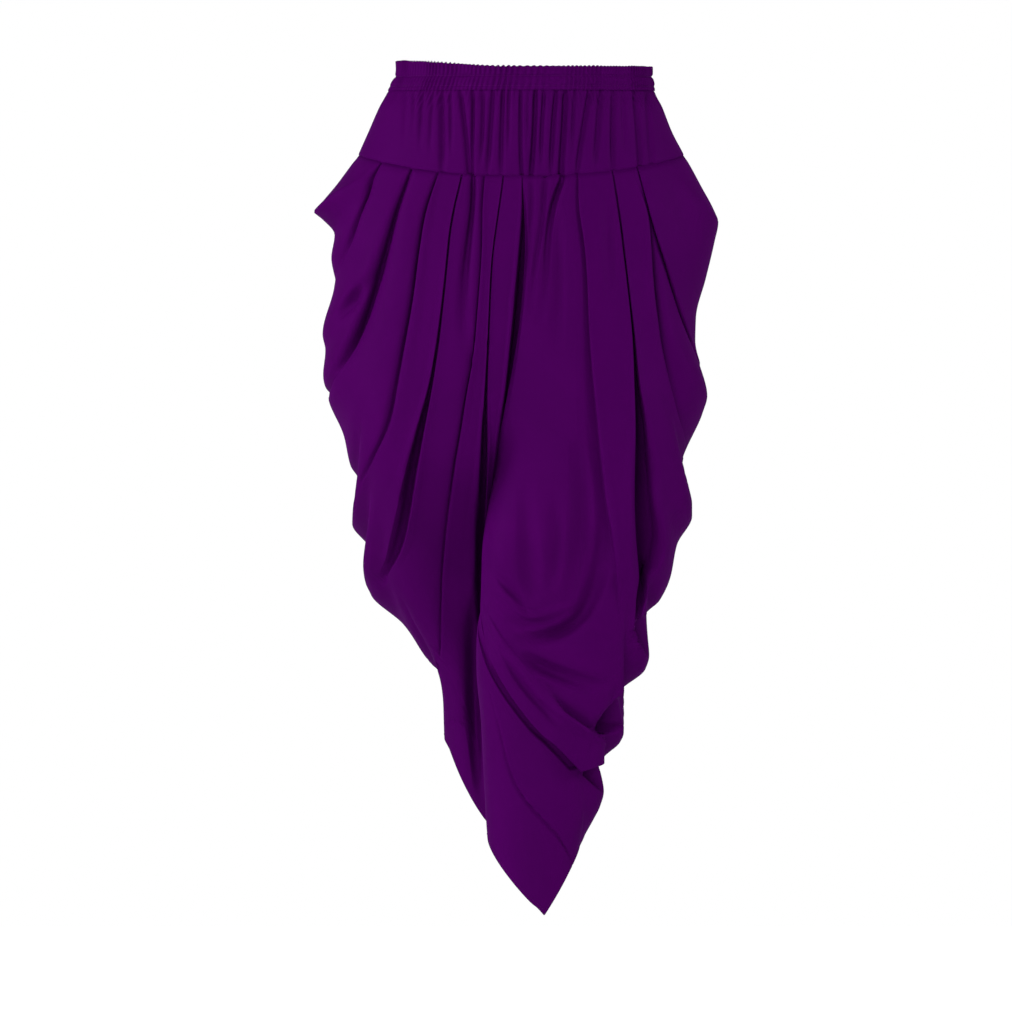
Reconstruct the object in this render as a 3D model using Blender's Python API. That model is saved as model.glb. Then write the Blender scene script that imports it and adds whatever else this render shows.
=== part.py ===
"""Dhoti pants, worn: gathered elastic waist, fitted yoke and two pleated cowl legs.

The garment keeps the hollow form of a standing figure of general build. The left leg
steps forward and crosses to the middle, the right leg stays behind it. Everything is
worked out in millimetres and scaled to metres when a mesh is made:

* "depth" is the distance below the middle of the waist edge, which is the origin;
* the front faces -Y, and the wearer's left is +X;
* "reach" is the distance from the YZ plane towards the side that a leg is on;
* an angle of 0 is the side, negative angles run over the front to the inner edge and
  positive angles over the back to the inner edge.
"""

import bpy
import numpy as np

# ---------------------------------------------------------------- driving dimensions (mm)

MM = 0.001
WALL = 2.0
SEAM = 0.3
ROUNDNESS = 2.3

CASING_DEPTH = 25.0
WAIST_GATHERS = 72
RUFFLE_HEIGHT = 9.0

SEAM_AT_SIDE = 97.0
SEAM_DROP = 23.0

SCALLOP_RISE = 250.0
FOLD_RELAX = 80.0
LEAST_STEP = np.radians(2.8)
MOST_WALL_FACTOR = 1.6
SETTLE_STEPS = 40
SETTLE_SHARE = 0.3

TORSO_COLUMNS = "depth right left front back"
TORSO = (
    (-8, 137, 138, 97, 96),
    (0, 137, 139, 98, 97),
    (25, 146, 142, 104, 104),
    (43, 156, 151, 109, 112),
    (70, 168, 162, 114, 122),
    (97, 180, 176, 118, 130),
    (120, 190, 186, 120, 137),
)

GATHER_COLUMNS = "top end depth groove"
GATHERS = (
    (-125, -129, 67, 3.0),
    (-107, -113, 59, 2.5),
    (-88, -88, 89, 3.0),
    (-67, -62, 100, 3.0),
    (-54, -53, 121, 5.0),
    (-36, -41, 100, 3.5),
    (-18, -21, 100, 3.5),
    (-2, -2, 121, 7.0),
    (13, 10, 100, 3.5),
    (30, 26, 98, 3.0),
    (47, 40, 121, 5.5),
    (62, 54, 89, 3.0),
    (74, 65, 102, 3.0),
    (87, 79, 89, 3.0),
    (101, 101, 105, 3.0),
    (120, 130, 105, 3.0),
    (136, 149, 108, 3.0),
)
GATHER_WIDTH = 4.2
SIDE_STOPS = (0, 6, 12, 18, 24, 31)

# Legs: one row for each height. "reach" is the outer edge with its scallops, "smooth" the
# same edge without them, "inner" the edge next to the other leg, "closure" 0 where the
# panel is an open C and 1 where it is a closed tube, "middle" the Y of its side line.
LEG_COLUMNS = "depth smooth inner closure middle front back"
RIGHT_LEG = (
    (97, 180, 1, 0.00, 0, 118, 130),
    (120, 198, 1, 0.00, 0, 120, 137),
    (160, 213, 1, 0.00, 0, 131, 146),
    (200, 212, 2, 0.00, 0, 138, 151),
    (250, 212, 5, 0.06, 0, 141, 152),
    (300, 214, 10, 0.20, 0, 142, 150),
    (350, 211, 18, 0.50, 0, 141, 146),
    (396, 197, 25, 0.85, 0, 138, 141),
    (430, 190, 31, 1.00, 0, 134, 136),
    (447, 186, 35, 1.00, 8, 130, 132),
    (489, 178, 38, 1.00, 29, 116, 118),
    (521, 170, 39, 1.00, 45, 102, 107),
    (553, 160, 36, 1.00, 56, 90, 96),
    (600, 133, 32, 1.00, 64, 76, 84),
    (650, 101, 9, 1.00, 70, 64, 72),
    (700, 87, -10, 1.00, 74, 56, 62),
    (750, 83, -22, 1.00, 76, 52, 56),
    (850, 80, -30, 1.00, 78, 50, 52),
)
RIGHT_SIDE_COLUMNS = "depth reach"
RIGHT_SIDE = (
    (97, 180), (148, 220), (156, 227), (163, 219), (181, 204.5), (206, 208), (231, 204.5),
    (289, 217.5), (306, 214.5), (334, 217), (356, 213), (399, 194.5), (432, 187), (447, 178.5),
    (495, 185.5), (524, 166), (558, 171.5), (573, 165), (604, 130), (646, 101),
    (655, 92), (686, 87), (725, 85.7), (760, 82), (850, 80),
)
LEFT_LEG = (
    (97, 176, -1, 0.00, 0, 118, 130),
    (120, 190, -1, 0.00, 0, 120, 137),
    (160, 203, -1, 0.00, 0, 131, 146),
    (200, 203, -2, 0.00, 0, 138, 151),
    (250, 196, -5, 0.06, 0, 141, 152),
    (300, 192, -10, 0.20, 0, 142, 150),
    (350, 193, -18, 0.50, 0, 141, 146),
    (396, 190, -25, 0.85, 0, 138, 141),
    (430, 184, -31, 1.00, 0, 136, 138),
    (447, 182, -34, 1.00, -8, 132, 134),
    (489, 176, -40, 1.00, -27, 122, 120),
    (521, 168, -45, 1.00, -42, 112, 110),
    (553, 158, -45, 1.00, -52, 104, 100),
    (600, 140, -47, 1.00, -60, 92, 86),
    (650, 128, -46, 1.00, -66, 80, 74),
    (700, 112, -46, 1.00, -70, 70, 64),
    (750, 97, -46, 1.00, -73, 63, 58),
    (800, 88, -45, 1.00, -75, 58, 54),
)
LEFT_SIDE = (
    (97, 176), (131, 195), (156, 208), (167, 212), (188, 208), (228, 198.5), (271, 187.7),
    (296, 187), (321, 192), (356, 200), (374, 195), (434, 172.5), (473, 183.4),
    (486, 183.4), (517, 167), (553, 159.5), (578, 147.6), (594, 132.4), (637, 136.7),
    (652, 132.4), (680, 103), (721, 109), (731, 105), (751, 86), (779, 89), (800, 87),
)

# The petal: the lower, pointed stretch of the left leg, which comes out from under the
# drape along the wrap line.
PETAL = (
    (570, 92, -37, 1.00, -56, 76, 72),
    (600, 88, -42, 1.00, -60, 74, 70),
    (655, 84, -41, 1.00, -66, 65, 60),
    (700, 82, -41, 1.00, -70, 59, 54),
    (740, 78, -41, 1.00, -72, 56, 51),
    (765, 78, -41, 1.00, -74, 54, 50),
    (800, 78, -41, 1.00, -75, 52, 49),
    (836, 65, -39, 1.00, -76, 50, 48),
    (850, 61, -37, 1.00, -76, 49, 47),
    (920, 58, -34, 1.00, -77, 47, 46),
)
PETAL_SIDE = (
    (570, 92), (655, 84), (740, 80), (765, 84.5), (784, 87.5), (800, 83.5), (815, 76),
    (836, 65), (850, 61), (920, 58),
)

# Pleats, from the middle to the side. "lip" is +1 where the outer side of a pleat lies on
# top, -1 where its inner side does and 0 for an even valley. The groove's depth is given
# at the start, at one third, at two thirds and at the end of the path of (reach, depth).
FOLD_COLUMNS = "lip width grooves path"
RIGHT_FOLDS = (
    (-1, 18, (4, 11, 0, 0), ((22, 122), (31, 188), (36, 250), (39, 360), (42, 440),
                             (50, 560), (34, 650), (24, 729), (20, 870))),
    (-1, 22, (4, 11, 12, 4), ((42, 122), (43, 181), (49, 250), (54, 312), (63, 384),
                             (72, 427), (80, 483), (86, 531), (87, 578), (89, 655))),
    (0, 10, (6, 7, 0, 0), ((53, 119), (59, 181), (66, 234), (75, 300), (90, 400),
                           (106, 480), (120, 550), (133, 604))),
    (0, 13, (4, 10, 20, 5), ((66, 119), (79, 181), (89, 250), (97, 306), (106, 362),
                            (120, 445), (136, 496), (149, 540), (166, 575))),
    (-1, 24, (4, 11, 12, 6), ((91, 117), (110, 181), (119, 243), (128, 299), (139, 353),
                            (156, 406), (182, 447))),
    (0, 12, (4, 13, 15, 4), ((122, 114), (139, 159), (155, 219), (165, 257), (181, 293),
                             (210, 329))),
    (0, 12, (5, 9, 6, 2), ((157, 112), (174, 149), (190, 187), (208, 231))),
)
LEFT_FOLDS = (
    (0, 9, (4, 3, 0, 0), ((21, 122), (15, 176), (11, 230), (12, 330), (18, 430),
                          (25, 520), (35, 600), (38, 660), (30, 790))),
    (0, 11, (7, 6, 0, 0), ((40, 122), (29, 163), (26, 194), (24, 281), (33, 360),
                           (45, 450), (58, 540), (70, 620), (62, 790))),
    (1, 22, (3, 9, 12, 4), ((62, 122), (66, 206), (71, 281), (76, 353), (82, 406),
                           (92, 489), (99, 547), (108, 600), (120, 635), (133, 658))),
    (1, 24, (4, 12, 18, 5), ((98, 117), (105, 169), (113, 228), (118, 281), (124, 328),
                             (129, 374), (135, 431), (138, 501), (138, 565), (136, 597))),
    (-1, 16, (3, 10, 13, 5), ((121, 117), (130, 163), (140, 228), (149, 296), (162, 359),
                             (177, 434))),
    (-1, 12, (4, 10, 7, 3), ((131, 117), (145, 169), (159, 228), (174, 275), (195, 345))),
    (0, 12, (4, 4, 2, 0), ((155, 113), (167, 138), (177, 163), (190, 235))),
)
BACK_FOLD_SCALE = 0.97
BACK_FOLD_SHIFT = 5.0
BACK_GROOVE = 0.85

# Heights of the rows of points, as depths at the side.
RIGHT_ROWS = (97, 125, 156, 181, 206, 231, 262, 289, 334, 367, 399, 423, 447, 471, 495,
              524, 541, 558, 575, 604, 625, 646, 667, 698, 729)
LEFT_ROWS = (97, 131, 165, 188, 228, 271, 308, 356, 378, 406, 434, 453, 473, 496, 517,
             553, 578, 594, 616, 637, 652, 680, 700, 721, 736, 751, 770, 792)
PETAL_ROWS = 9
PETAL_OVERLAP = 24.0

# Lower edge of the left drape: its depth at the inner edge, how much lower it is towards
# the side, and how far it is caught up again at the side itself.
WRAP_TOP = 600.0
WRAP_DROP = 192.0
WRAP_RISE = 43.0
WRAP_SPREAD = np.radians(65.0)

PURPLE = (0.052, 0.0006, 0.075, 1.0)


# ---------------------------------------------------------------- tables and curves

def table(columns, rows):
    """Rows of plain numbers as a dictionary of named columns."""
    values = np.array(rows, dtype=float)
    return {name: values[:, i] for i, name in enumerate(columns.split())}


def smooth_curve(x, y, at):
    """Monotone cubic through the points (x, y), read at the places given."""
    step = np.diff(x)
    rise = np.diff(y) / step
    slope = np.zeros_like(y)
    slope[0], slope[-1] = rise[0], rise[-1]
    before, after = rise[:-1], rise[1:]
    same_way = before * after > 0
    safe_before = np.where(same_way, before, 1.0)
    safe_after = np.where(same_way, after, 1.0)
    heavy = 2 * step[1:] + step[:-1]
    light = step[1:] + 2 * step[:-1]
    mean = (heavy + light) / (heavy / safe_before + light / safe_after)
    slope[1:-1] = np.where(same_way, mean, 0.0)
    at = np.clip(at, x[0], x[-1])
    i = np.clip(np.searchsorted(x, at, side="right") - 1, 0, len(step) - 1)
    t = (at - x[i]) / step[i]
    start = (1 + 2 * t) * (1 - t) ** 2 * y[i] + t * (1 - t) ** 2 * step[i] * slope[i]
    end = t * t * (3 - 2 * t) * y[i + 1] - t * t * (1 - t) * step[i] * slope[i + 1]
    return start + end


def read(tab, column, depth):
    return smooth_curve(tab["depth"], tab[column], np.asarray(depth, dtype=float))


def ease(value):
    """0 to 1, with a soft start and end."""
    t = np.clip(value, 0.0, 1.0)
    return t * t * (3 - 2 * t)


def round_cos(angle):
    c = np.cos(angle)
    return np.sign(c) * np.abs(c) ** (2 / ROUNDNESS)


def round_sin(angle):
    return np.abs(np.sin(angle)) ** (2 / ROUNDNESS)


def round_acos(value):
    """The angle at which round_cos has this value."""
    value = np.clip(value, -1.0, 1.0)
    return np.arccos(np.sign(value) * np.abs(value) ** (ROUNDNESS / 2))


def yoke_seam(angle):
    """Depth of the seam between the yoke and the legs."""
    return SEAM_AT_SIDE + SEAM_DROP * np.sin(angle) ** 2


# ---------------------------------------------------------------- walls

def wall_factor(grid, lift):
    """How much deeper a wall is cut straight in where its outer face slopes along a row."""
    step = np.linalg.norm(np.diff(grid[..., :2], axis=1), axis=-1)
    run = np.concatenate([np.zeros((len(grid), 1)), np.cumsum(step, axis=1)], axis=1)
    slope = np.stack([np.gradient(lift[r], run[r]) for r in range(len(grid))])
    return np.minimum(np.hypot(1.0, slope), MOST_WALL_FACTOR)


def wall_mesh(name, outer, inner, closed, flip):
    """Closed body between two grids of points with the same rows and columns."""
    rows, cols = outer.shape[:2]
    count = rows * cols
    points = np.concatenate([outer.reshape(-1, 3), inner.reshape(-1, 3)]) * MM
    spans = cols if closed else cols - 1
    faces = []
    for r in range(rows - 1):
        for c in range(spans):
            a, b = r * cols + c, r * cols + (c + 1) % cols
            d, e = a + cols, b + cols
            for tri in ((a, b, e), (a, e, d)):
                faces.append(tri)
                faces.append(tuple(i + count for i in reversed(tri)))
    for c in range(spans):
        a, b = c, (c + 1) % cols
        faces += [(b, a, a + count), (b, a + count, b + count)]
        a, b = a + count - cols, b + count - cols
        faces += [(a, b, b + count), (a, b + count, a + count)]
    if not closed:
        for r in range(rows - 1):
            a, d = r * cols, (r + 1) * cols
            faces += [(a, d, d + count), (a, d + count, a + count)]
            a, d = a + cols - 1, d + cols - 1
            faces += [(d, a, a + count), (d, a + count, d + count)]
    if flip:
        faces = [tuple(reversed(f)) for f in faces]
    mesh = bpy.data.meshes.new(name)
    mesh.from_pydata(points.tolist(), [], faces)
    mesh.validate()
    mesh.shade_smooth()
    return mesh


def cloth_material(name):
    material = bpy.data.materials.new(name)
    material.use_nodes = True
    surface = material.node_tree.nodes["Principled BSDF"]
    surface.inputs["Base Color"].default_value = PURPLE
    surface.inputs["Roughness"].default_value = 0.62
    surface.inputs["Metallic"].default_value = 0.0
    surface.inputs["Sheen Weight"].default_value = 0.25
    return material


def add_piece(name, outer, inner, closed=False, flip=False):
    mesh = wall_mesh(name, outer, inner, closed, flip)
    mesh.materials.append(cloth_material(name + "_cloth"))
    piece = bpy.data.objects.new(name, mesh)
    bpy.context.scene.collection.objects.link(piece)
    return piece


# ---------------------------------------------------------------- waist and yoke

def torso_points(depth, angle, lift):
    """Points on the body of the garment above the legs, moved out by "lift".

    The angle runs from 0 at the wearer's left over the front at -90 degrees.
    """
    torso = table(TORSO_COLUMNS, TORSO)
    left, right = read(torso, "left", depth), read(torso, "right", depth)
    front, back = read(torso, "front", depth), read(torso, "back", depth)
    half = (left + right) / 2
    x = (left - right) / 2 + half * round_cos(angle)
    y = np.sign(np.sin(angle)) * round_sin(angle) * np.where(np.sin(angle) < 0, front, back)
    out_x, out_y = np.cos(angle), np.sin(angle) * half / np.where(np.sin(angle) < 0, front, back)
    size = np.hypot(out_x, out_y)
    x = x + lift * out_x / size
    y = y + lift * out_y / size
    return np.stack([x, y, -np.broadcast_to(depth, x.shape)], axis=-1)


def make_waistband():
    """Elastic casing with a small ruffle above it: rows are height, ripple, swell."""
    profile = table("depth ripple swell", (
        (-1.0, 1.6, 0.6),
        (4.0, 1.3, 0.4),
        (RUFFLE_HEIGHT, 0.5, -0.6),
        (17.0, 1.1, 1.2),
        (CASING_DEPTH - SEAM, 0.6, 0.0),
    ))
    cols = 2 * WAIST_GATHERS
    angle = -2 * np.pi * np.arange(cols) / cols
    wave = np.where(np.arange(cols) % 2 == 0, 0.5, -0.5)
    depth, angle = np.meshgrid(profile["depth"], angle, indexing="ij")
    corner_rise = 6.0 * ease(-np.cos(angle) * 1.5 - 0.3) * (depth < RUFFLE_HEIGHT - 1)
    lift = profile["swell"][:, None] + profile["ripple"][:, None] * wave
    outer = torso_points(depth - corner_rise, angle, lift)
    inner = torso_points(depth - corner_rise, angle, lift - WALL)
    return add_piece("waistband", outer, inner, closed=True)


def gather_lift(x, depth, gathers):
    """Inward dips of the yoke below the casing, each running down from the casing."""
    lift = np.zeros_like(x)
    for top, end, low, groove in zip(*(gathers[c] for c in GATHER_COLUMNS.split())):
        down = (depth - CASING_DEPTH) / (SEAM_AT_SIDE + SEAM_DROP - CASING_DEPTH)
        line = top + (end - top) * down
        fade = 1 - ease((depth - low + 18) / 26)
        lift -= groove * fade * np.exp(-((x - line) / GATHER_WIDTH) ** 2)
    return lift


def make_yoke(name, facing):
    """Half of the yoke, from side seam to side seam; facing is -1 front, +1 back."""
    gathers = table(GATHER_COLUMNS, GATHERS)
    gathers["top"] = -facing * gathers["top"]
    gathers["end"] = -facing * gathers["end"]
    half = 162.0
    stops = [np.radians(turn) for turn in SIDE_STOPS]
    stops += [np.pi - stop for stop in stops]
    for top in sorted(gathers["top"], reverse=True):
        middle = round_acos(top / half)
        spread = GATHER_WIDTH * 1.25 / half / max(0.25, np.sin(middle))
        stops += [middle - spread, middle, middle + spread]
    stops = np.sort(np.array(stops))
    edge = SEAM / 2 / 110.0
    stops = edge + (stops - stops[0]) / (stops[-1] - stops[0]) * (np.pi - 2 * edge)
    angle = facing * stops
    down = np.array([0.0, 0.25, 0.65, 1.0])
    down, angle = np.meshgrid(down, angle, indexing="ij")
    depth = CASING_DEPTH + (yoke_seam(angle) - CASING_DEPTH) * down
    flat = torso_points(depth, angle, 0.0)
    lift = gather_lift(flat[..., 0], depth, gathers)
    outer = torso_points(depth, angle, lift)
    inner = torso_points(depth, angle, lift - WALL)
    return add_piece(name, outer, inner, flip=facing > 0)


# ---------------------------------------------------------------- legs

class Leg:
    """The shape of one leg panel: its tables, its folds and its two ends."""

    def __init__(self, side, rows, edge_rows, top, bottom, inset=0.0):
        self.side = side
        self.rows = table(LEG_COLUMNS, rows)
        self.edge = table(RIGHT_SIDE_COLUMNS, edge_rows)
        self.top = top
        self.bottom = bottom
        self.inset = inset

    def depth(self, down, angle):
        """Depth of the point a share "down" of the way from the top to the bottom edge."""
        top, bottom = self.top(angle), self.bottom(angle)
        return top + (bottom - top) * down

    def section(self, depth):
        """Centre and half width of the horizontal section at a depth, and its closure."""
        inner, outer = read(self.rows, "inner", depth), read(self.rows, "smooth", depth)
        inner = inner + SEAM / 2
        closure = read(self.rows, "closure", depth)
        half = (outer - inner) / (1 + closure)
        return inner + closure * half, half, closure

    def edge_angle(self, down):
        """Angle of the inner edge, 90 degrees on an open C and 180 on a tube."""
        angle = np.full(np.shape(down), np.pi / 2)
        for _ in range(SETTLE_STEPS):
            closure = self.section(self.depth(down, angle))[2]
            angle = angle + SETTLE_SHARE * (round_acos(-closure) - angle)
        return angle

    def angle_of(self, reach, depth):
        centre, half, _ = self.section(depth)
        return round_acos((reach - centre) / half)

    def surface(self, depth, angle, lift=0.0):
        """Points of the panel, moved out along the section by "lift"."""
        centre, half, _ = self.section(depth)
        middle = read(self.rows, "middle", depth)
        front, back = read(self.rows, "front", depth), read(self.rows, "back", depth)
        deep = np.where(angle < 0, front, back)
        rise = SCALLOP_RISE * (1 - np.cos(angle))
        level = np.minimum(depth + rise, self.edge["depth"][-1])
        scallop = read(self.edge, "reach", level) - read(self.rows, "smooth", level)
        weight = side_weight(angle)
        reach = centre + (half + scallop * weight) * round_cos(angle)
        y = middle + np.sign(angle) * deep * round_sin(angle)
        out_x, out_y = np.cos(angle), np.sin(angle) * half / deep
        size = np.hypot(out_x, out_y)
        move = lift - self.inset
        x = self.side * (reach + move * out_x / size)
        y = y + move * out_y / size
        return np.stack([x, y, -depth], axis=-1)


def side_weight(angle):
    """1 along the side of a leg, 0 over its front and back."""
    return ease((np.cos(angle) - 0.55) / 0.40)


def fold_path(fold):
    """Reach, groove and length of a fold as functions of depth."""
    path = np.array(fold["path"], dtype=float)
    start, end = path[0, 1], path[-1, 1]

    def reach(depth):
        return smooth_curve(path[:, 1], path[:, 0], depth)

    def groove(depth):
        share = (depth - start) / (end - start)
        depths = np.array(fold["grooves"], dtype=float)
        return smooth_curve(np.linspace(0, 1, 4), depths, share)

    return reach, groove, start, end


def back_folds(folds):
    """The folds of a back, like those of the front but a little nearer or further out."""
    made = []
    for i, fold in enumerate(folds):
        last = fold["path"][-1]
        shift = BACK_FOLD_SHIFT * np.sin(2.1 * i + 0.6)
        path = [(BACK_FOLD_SCALE * reach + shift, depth) for reach, depth in fold["path"][:-1]]
        grooves = [BACK_GROOVE * g for g in fold["grooves"]]
        made.append(dict(fold, path=path + [last], grooves=grooves))
    return made


def fold_angles(leg, folds, down):
    """Angle of each fold in each row, and which folds still run at that height."""
    angles = np.zeros((len(folds), len(down)))
    alive = np.zeros((len(folds), len(down)), dtype=bool)
    past = np.zeros((len(folds), len(down)))
    for i, fold in enumerate(folds):
        reach, _, _, end = fold_path(fold)
        angle = np.full(len(down), np.radians(50.0))
        for _ in range(SETTLE_STEPS):
            depth = leg.depth(down, angle)
            aim = leg.angle_of(reach(np.minimum(depth, end)), depth)
            angle = angle + SETTLE_SHARE * (aim - angle)
        depth = leg.depth(down, angle)
        angles[i] = angle
        alive[i] = depth < end
        past[i] = leg.depth(down, 0 * angle) - end
    return angles, alive, past


def column_angles(leg, folds, down, shares):
    """Angles of the columns over one half of a leg, from its inner edge to its side.

    The columns follow the folds. Below the height where a fold runs out at the side, its
    columns spread out again between the next fold and the side.
    """
    edge = leg.edge_angle(down)
    angles, alive, past = fold_angles(leg, folds, down)
    turn = edge + (np.minimum(angles[0], edge) - edge) * 0.5
    knots = [edge]
    for i in range(len(folds)):
        living = [k for k in range(len(folds)) if k <= i]
        base = knots[0].copy()
        number = np.zeros(len(down))
        for k in living:
            base = np.where(alive[k], np.minimum(angles[k], base), base)
            number = np.where(alive[k], k + 1, number)
        spread = base * (len(folds) - i) / (len(folds) - number + 1)
        relaxed = spread * ease(past[i] / FOLD_RELAX)
        angle = np.where(alive[i], angles[i], relaxed)
        least = (len(folds) - i) * LEAST_STEP
        most = knots[-1] - LEAST_STEP
        knots.append(np.clip(angle, least, most))
    knots.append(np.zeros(len(down)))
    columns = [edge, edge + (turn - edge) * 0.5, turn, turn + (knots[1] - turn) * 0.5]
    for near, far in zip(knots[1:-1], knots[2:]):
        columns += [near + (far - near) * share for share in shares]
    columns.append(knots[-1])
    return np.stack(columns, axis=1)


def groove_profile(distance, fold, depth_of_groove):
    """Lift across a fold; distance is along the section, positive towards the side."""
    width, lip = fold["width"], fold["lip"]
    if lip == 0:
        return -depth_of_groove * np.exp(-(distance / (0.75 * width)) ** 2)
    over = distance * lip
    slope = np.clip(1 + over / width, 0, 1) ** 1.7
    step = np.clip(1 - over / (0.32 * width), 0, 1) ** 1.4
    lip_height = 0.14 * np.exp(-((over - 0.5 * width) / (0.4 * width)) ** 2)
    return depth_of_groove * (lip_height - np.where(over < 0, slope, step))


def fold_lift(leg, folds, down, angle):
    """Lift of every point of one half of a leg from all its folds."""
    flat = leg.surface(leg.depth(down, angle), angle)
    step = np.linalg.norm(np.diff(flat[..., :2], axis=1), axis=-1)
    run = np.concatenate([np.zeros((len(flat), 1)), np.cumsum(step, axis=1)], axis=1)
    rows = down[:, 0]
    angles, _, _ = fold_angles(leg, folds, rows)
    depth = leg.depth(down, angle)
    lift = np.zeros_like(angle)
    for i, fold in enumerate(folds):
        _, groove, start, end = fold_path(fold)
        for r in range(len(rows)):
            place = np.interp(-angles[i, r], -np.abs(angle[r]), run[r])
            fade = 1 - ease((depth[r] - end + 20) / 30)
            deep = groove(np.clip(depth[r], start, end)) * fade
            lift[r] += groove_profile(run[r] - place, fold, deep)
    return lift * (1 - side_weight(angle))


def leg_grid(leg, folds, down, shares):
    """Outer and inner points of a leg panel, from the front inner edge to the back one."""
    fronts = column_angles(leg, folds[0], down, shares)
    backs = column_angles(leg, folds[1], down, shares)
    share = down[:, None] * np.ones(fronts.shape[1])
    front_lift = fold_lift(leg, folds[0], share, -fronts)
    back_lift = fold_lift(leg, folds[1], share, backs)
    angle = np.concatenate([-fronts, backs[:, -2::-1]], axis=1)
    lift = np.concatenate([front_lift, back_lift[:, -2::-1]], axis=1)
    depth = leg.depth(down[:, None] * np.ones(angle.shape[1]), angle)
    wall = WALL * wall_factor(leg.surface(depth, angle), lift)
    outer = leg.surface(depth, angle, lift)
    inner = leg.surface(depth, angle, lift - wall)
    part_at_inseam(outer, leg.section(depth)[2])
    part_at_inseam(inner, leg.section(depth)[2])
    return outer, inner


def part_at_inseam(grid, closure):
    """Keep the front and back edges of a leg one seam apart where they meet."""
    grid[:, 0, 1] -= SEAM / 2 * closure[:, 0] ** 4
    grid[:, -1, 1] += SEAM / 2 * closure[:, -1] ** 4


def named_folds(rows):
    return [dict(zip(FOLD_COLUMNS.split(), row)) for row in rows]


def row_shares(depths):
    depths = np.array(depths, dtype=float)
    return (depths - depths[0]) / (depths[-1] - depths[0])


def make_leg(name, leg, fold_rows, depths, shares):
    folds = named_folds(fold_rows)
    outer, inner = leg_grid(leg, (folds, back_folds(folds)), row_shares(depths), shares)
    return add_piece(name, outer, inner, flip=leg.side > 0)


def leg_top(angle):
    return yoke_seam(angle) + SEAM


def right_hem(angle):
    """The right hem is short at the side and longest at the front inner quarter."""
    turn = np.abs(angle)
    long = np.radians(115.0)
    outer = ease(turn / long)
    inner = ease((np.pi - turn) / (np.pi - long))
    return np.where(turn < long, 729 + 116 * outer, 790 + 55 * inner)


def wrap_line(angle):
    """Lower edge of the left drape: high inside the leg, lowest in front of its side."""
    rise = WRAP_RISE * ease(1 - np.abs(angle) / WRAP_SPREAD)
    return WRAP_TOP + WRAP_DROP * np.abs(np.cos(angle / 2)) ** 1.15 - rise


def petal_top(angle):
    return wrap_line(angle) - PETAL_OVERLAP


def petal_hem(angle):
    """The left hem ends in a point at the front and is nearly level at the back."""
    turn = np.abs(angle)
    tip = np.radians(79.0)
    share = np.where(turn < tip, turn / tip, (np.pi - turn) / (np.pi - tip))
    point = 82 * np.clip(share, 0, 1) ** 1.25
    return 836 + np.where(angle < 0, point, 14 * np.sin(turn) ** 2)


def make_petal():
    leg = Leg(1, PETAL, PETAL_SIDE, petal_top, petal_hem)
    down = np.linspace(0, 1, PETAL_ROWS)
    half = np.linspace(np.pi, 0, 13)
    angle = np.concatenate([-half, half[-2::-1]])
    down, angle = np.meshgrid(down, angle, indexing="ij")
    depth = leg.depth(down, angle)
    outer, inner = leg.surface(depth, angle), leg.surface(depth, angle, -WALL)
    part_at_inseam(outer, np.ones_like(depth))
    part_at_inseam(inner, np.ones_like(depth))
    return add_piece("petal_left", outer, inner, flip=True)


def main():
    for old in list(bpy.data.objects):
        bpy.data.objects.remove(old)
    make_waistband()
    make_yoke("yoke_front", -1)
    make_yoke("yoke_back", 1)
    right = Leg(-1, RIGHT_LEG, RIGHT_SIDE, leg_top, right_hem)
    left = Leg(1, LEFT_LEG, LEFT_SIDE, leg_top, wrap_line)
    make_leg("leg_right", right, RIGHT_FOLDS, RIGHT_ROWS, (0, 0.4, 0.85))
    make_leg("leg_left", left, LEFT_FOLDS, LEFT_ROWS, (0, 0.15, 0.6))
    make_petal()


main()
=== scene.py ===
# %% [markdown]
# # Dhoti pants, worn: elastic waist, fitted yoke and two pleated cowl legs
#
# The garment is one long drape of soft crepe. A gathered casing holds it at the waist, a
# short yoke carries it over the hips, and each leg is one wide panel. The panel is pleated
# into the yoke at the front and at the back, so that the cloth between hangs round the side
# of the leg in U-shaped swags. The lower left leg wraps into a pointed petal.
#
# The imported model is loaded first. It holds every cut piece as a plain wall at its real
# size and place, and the new, fine shells are worked out from the same named sizes.

# %% Load the frame
import math

import bpy
import numpy as np
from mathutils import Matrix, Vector


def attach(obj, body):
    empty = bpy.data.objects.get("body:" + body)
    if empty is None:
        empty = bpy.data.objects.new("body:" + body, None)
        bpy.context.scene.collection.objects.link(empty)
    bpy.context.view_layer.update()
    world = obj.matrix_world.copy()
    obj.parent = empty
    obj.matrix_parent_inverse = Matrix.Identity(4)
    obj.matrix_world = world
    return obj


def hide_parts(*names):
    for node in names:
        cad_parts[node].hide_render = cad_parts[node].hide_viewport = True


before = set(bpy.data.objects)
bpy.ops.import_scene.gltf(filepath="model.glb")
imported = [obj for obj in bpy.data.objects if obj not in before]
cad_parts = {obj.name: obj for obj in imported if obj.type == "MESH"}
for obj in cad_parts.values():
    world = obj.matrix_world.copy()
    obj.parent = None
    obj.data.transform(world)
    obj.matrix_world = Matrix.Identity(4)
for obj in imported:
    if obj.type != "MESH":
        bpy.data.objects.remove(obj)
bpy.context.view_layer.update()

bpy.ops.object.select_all(action="DESELECT")
print("cut pieces:", ", ".join(sorted(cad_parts)))

# %% [markdown]
# ## Sizes
#
# All sizes are millimetres on the garment. "Depth" is the distance below the middle of the
# waist edge, which is the origin. "Reach" is the distance from the middle plane towards the
# side that a leg is on. The front faces -Y. An angle of 0 is the side of a leg, negative
# angles run over its front and positive ones over its back.
#
# The driving sizes come first, each with a name, so that a tailor's change is one edit:
# the thickness of the cloth, the casing, its ruffle, and the seam that joins the yoke to
# the legs, which drops from the sides to the middle.

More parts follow.
